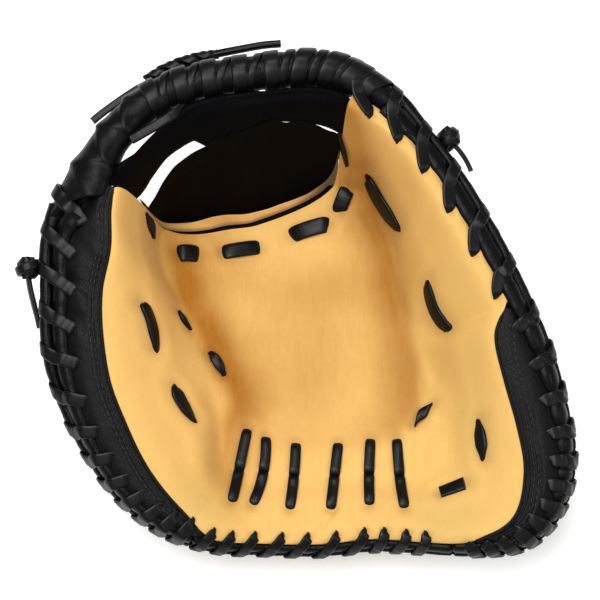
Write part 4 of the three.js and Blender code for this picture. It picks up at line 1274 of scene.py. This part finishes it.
def tip_lace(name, facing, width, points):
    """A short leaf of lace along its points, lifted 0.6 mm off the leather the way it faces."""
    facing = unit(np.array(facing, float))
    path = np.array(points, float).reshape(-1, 3) + [*POCKET, 0] + 0.6 * facing
    path = curve_through(path, 8)
    leaf = strip(path, np.broadcast_to(facing, path.shape), width, 2, 12, 0.75, 0.45)
    laces(name, [leaf], replaced=())


def crotch_binding():
    """Tan binding along the slit, a rounded strip whose top stands 0.3 mm over the palm's edge, with a
    gap between it and the palm and a black lining under that gap. Its colour darkens towards its
    ends, most at the finger's."""
    angles = np.linspace(82.4, 146.5, 260)
    slit, crotch = between(SLIT, 1, angles), between(CROTCH, 1, angles)
    closing = stretch(angles, 82.4, 86, 141, 146.5)
    low = slit + GAP + (SLIT_GAP + 0.3 * noise(angles, 0 * angles, 7, 41)) * closing
    high = np.maximum(crotch - 0.1, low + 0.3)
    shares = np.linspace(0, 1, 12)
    radius = low[:, None] + (high - low)[:, None] * shares
    crown = 1.2 * np.sin(np.pi * (0.08 + 0.84 * shares)) ** 0.6 * closing[:, None] - 0.9
    uneven = 0.12 * noise(angles[:, None] + 0 * shares, 9 * shares, 4, 40)
    upper = polar(angles[:, None], radius, front(angles[:, None], radius) + crown + uneven)
    # Darker towards both ends, most at the finger's end.
    end_darkening = 1 - ease(angles, 84, 104) * (1 - 0.6 * ease(angles, 132, 146))
    piece("crotch_trim", outward(slab(upper, upper - [0, 0, PALM_EDGE + 0.5])), BINDING,
          ("crotch_binding",), {"end_darkening": np.tile(np.repeat(end_darkening, len(shares)), 2)})
    lining = slit[:, None] - 1.5 + 5 * np.array([0, 0.5, 1])[None, :]
    upper = polar(angles[:, None], lining, front(angles[:, None], lining) - 3.4)
    piece("slit_lining", outward(slab(upper, upper - [0, 0, 1.2])), WEB_HIDE)


def web_panel():
    """The web's big panel: hung 2.5 mm lower at the binding, bulging 3 mm away from the pocket (a
    sine across it), with a raised rim and a groove inside it. Its ends tuck under the tips, and it
    parts from the band in two places."""
    angles = np.concatenate([np.linspace(79.3, 84, 30), np.linspace(84.3, 146.5, 190)])
    shares = np.linspace(0, 1, 70)
    low = between(CROTCH, 1, angles) + 0.2
    parted = 0.5 * bell(angles - 99.5, 2) + 0.6 * bell(angles - 86.5, 3)
    high = np.maximum(rim("radius", angles) - between(WEB, 1, angles) - parted, low + 0.8)
    low = np.where(angles < 84, np.minimum(low, high - 4), low)
    radius = low[:, None] + (high - low)[:, None] * shares
    tuck = (4 * (1 - ease(angles, 80.5, 84.5)) + 3 * ease(angles, 143.5, 146.5))[:, None]
    sag = -2.5 * (1 - shares) - 3 * np.sin(np.pi * shares)
    border = np.minimum((high - low)[:, None] * (1 - shares), 30)
    lip = 0.7 * bell(border, 1.6) - 0.35 * bell(border - 3.4, 0.7)
    x, y = level_place(angles[:, None], radius)
    height = front(angles[:, None], radius) + sag + lip + 0.35 * noise(x, y, 14, 50) - tuck
    upper = polar(angles[:, None], radius, height)
    piece("web_panel_leather", outward(slab(upper, upper - [0, 0, LEATHER - 0.3])), WEB_HIDE,
          ("web_panel",))


def web_band():
    """The band between panel and roll: a padded strip whose upper edge is rolled (a quarter-round
    crown) and whose lower half lies flatter, with two long grooves. Near the thumb it leaves a gap
    under the roll; its ends tuck under the two tips."""
    angles = np.linspace(78.8, 150, 260)
    low = np.interp(angles, WEB[:, 0], WEB[:, 2])
    high = np.interp(angles, WEB[:, 0], WEB[:, 3]) - 1.4
    high = high - 1.1 * stretch(angles, 103, 108, 122, 126) + 3.4 * stretch(angles, 124, 128, 140.5, 146)
    low = low - 3 * (1 - ease(angles, 80, 82.4))
    shares = np.linspace(0, 1, 34)
    radius = rim("radius", angles)[:, None] - (low[:, None] + (high - low)[:, None] * shares)
    crown = 2.4 * bell(shares - 0.8, 0.16) + 0.8 * bell(shares - 0.25, 0.2) - 0.4
    fall = -2.4 * ease(shares, 0.9, 1) ** 2
    tuck = (4 * (1 - ease(angles, 79.5, 83)) + 3.5 * ease(angles, 146.5, 149.5))[:, None]
    height = front(angles[:, None], radius) + crown + fall - tuck
    upper = polar(angles[:, None], radius, height)
    piece("web_band_leather", outward(slab(upper, upper - [0, 0, LEATHER])), WEB_HIDE,
          ("web_band",))


# The back's outer edge: how far outside the middle of the rim, and how far below the lace.
BACK_OUT = 2.5
BACK_ROOM = 1.4


def back_edge(angle):
    """Radius and height of the back's outer edge: under the welts, or under the palm at the web."""
    a = np.mod(angle, 360)
    slit = between(SLIT, 1, a)
    inner = UNDER_SHARES[0] * slit
    fall = front(a, slit) - PALM_EDGE - (front(a, inner) - palm_pad(a, UNDER_SHARES[0]))
    web_height = front(a, slit) - PALM_EDGE - fall * LEATHER / (slit - inner) - 2
    tilt = np.radians(rim("tilt", a))
    drop = rim_through(a) + LACE_ROOM + LACE_THICK + BACK_ROOM
    out = (BACK_OUT * np.cos(tilt) - drop * np.sin(tilt)) * slant(a)
    web = in_web(a)
    radius = np.where(web, between(CROTCH, 1, a), rim("radius", a) + out)
    height = np.where(web, web_height, rim("height", a) - BACK_OUT * np.sin(tilt) - drop * np.cos(tilt))
    return radius, height


def back_height(angle, radius):
    """Outside of the back: flat out to 56 percent of the way, then part of an oval up to its edge.
    Away from the edge, the edge's size is averaged over 10 degrees, so that the tips leave no keel."""
    edge, tall = back_edge(angle)
    t = np.clip((radius - FLAT_SHARE * edge) / ((1 - FLAT_SHARE) * edge), 0, 1)
    soft_edge, soft_tall = (np.interp(np.mod(angle, 360), BACK_ANGLES, values) for values in SOFT_BACK)
    rise = lambda s: 1 - np.sqrt(1 - BACK_ROUND * s * s)
    own = tall * rise(t) / rise(1)
    soft_t = np.clip((radius - FLAT_SHARE * soft_edge) / ((1 - FLAT_SHARE) * soft_edge), 0, 1)
    shared = soft_tall * rise(soft_t) / rise(1)
    return shared + (own - shared) * ease(radius / edge, 0.72, 0.99)


def soft_back():
    """The back's edge radius and height, averaged by a bell shape 5 degrees wide round the mitt."""
    angle = np.arange(0, 360, 0.5)
    offset = np.arange(-24, 25)
    weight = bell(offset * 0.5, 5)
    values = [np.pad(v, 24, mode="wrap") for v in back_edge(angle)]
    soft = [np.convolve(v, weight / weight.sum(), "valid") for v in values]
    return np.append(angle, 360), [np.append(v, v[0]) for v in soft]


BACK_ANGLES, SOFT_BACK = soft_back()


def in_wrist(angle):
    """True across the hand opening of the back."""
    a = np.mod(angle, 360)
    return (a > WRIST[0]) & (a < WRIST[1])


# Seams of the back between the stalls, as four points each from the middle of the pocket.
BACK_SEAMS = [
    (4, 40, 14, 56, 16, 68, 10, 76), (30, 30, 50, 44, 66, 56, 76, 66), (44, 8, 66, 14, 84, 20, 100, 26),
    (50, -24, 76, -34, 100, -44, 122, -54), (-40, 30, -62, 44, -82, 54, -100, 60),
    (-46, -18, -70, -34, -90, -50, -100, -64),
]


def back_shell():
    """The back: outer and inner faces 3 mm apart from the middle to the edge, cut back at the wrist,
    with low welted seams between the finger stalls."""
    angles = body_angles()
    wrist = in_wrist(angles)
    shares = np.concatenate([np.linspace(0.05, 0.9, 54), np.linspace(0.9, 1, 8)[1:]])[:, None]
    reach = np.where(wrist, WRIST_CUT, back_edge(angles)[0])
    radius = shares * reach
    height = back_height(angles, radius)
    x, y = level_place(angles, radius)
    ridge = 0 * height
    for seam in BACK_SEAMS:
        gap, _, share = beside_line(x, y, seam)
        ridge = ridge + 0.9 * bell(gap, 1.1) * ease(share, 0, 0.05)
    ridge = ridge * (1 - ease(shares, 0.93, 0.99)) * ease(height, 0.3, 4)
    outer = polar(angles, radius, height + ridge)
    curved = np.clip((shares - FLAT_SHARE) / (1 - FLAT_SHARE), 0, 1)
    lean = np.where(wrist, 0, np.radians(BACK_LEAN) * curved**1.5)
    a = np.radians(angles)
    step = np.stack([-np.sin(lean) * np.cos(a), -np.sin(lean) * np.sin(a), np.cos(lean)], -1) * LEATHER
    inner = polar(angles, radius, height) + step
    rings = np.concatenate([outer, inner[::-1]])
    body = tube(rings)
    body[0][-2] = [*POCKET, 0]
    body[0][-1] = [*POCKET, LEATHER]
    piece("back_leather", outward(body), SHELL, ("back_shell",))


def wrist_strap():
    """The strap across the hand opening, a little thinner than the shell, with rolled borders."""
    angles = np.linspace(WRIST[0] + 0.8, WRIST[1] - 0.8, 120)
    radii = np.linspace(*STRAP, 44)
    height = back_height(angles[:, None], radii[None, :])
    border = np.minimum(radii - STRAP[0], STRAP[1] - radii)
    roll = 0.5 * bell(border - 1.2, 1)
    outer = polar(angles[:, None], radii[None, :], height)
    inner = polar(angles[:, None], radii[None, :], height + LEATHER - 0.3 + roll)
    piece("strap_leather", outward(slab(inner, outer)), SHELL, ("wrist_strap",))


# The camera, the free lace end and the studio come first, then the leathers from the palm outwards.
set_camera()
long_lace_end()
set_studio()
palm_body, palm_values = padded_palm()
palm_piece = piece("padded_palm", palm_body, COWHIDE, ("palm",), palm_values)
side_wall("side_wall_thumb", 150.9, 243.6)
side_wall("side_wall_finger", 304.6, 361)
piping("piping_thumb", 152, 240)
piping("piping_finger", 306, 360)
seam_stitching()
for (name, start, end), (lace, row) in zip(RIM_WELTS, RIM_LACES.items()):
    welts(name, start, end, whip_lace(lace, *row))
web_roll()
roll_wraps()
knot_with_end("rim_knot_finger", 54.2, 6.2, 43.5, 12.4)
knot_with_end("rim_knot_thumb", 171, 6.4, 183.3, 7.4)
roll_knot()
for row in PALM_LACES:
    palm_lace(*row)
for row in TIP_LACES:
    tip_lace(*row)
crotch_binding()
web_panel()
web_band()
back_shell()
wrist_strap()
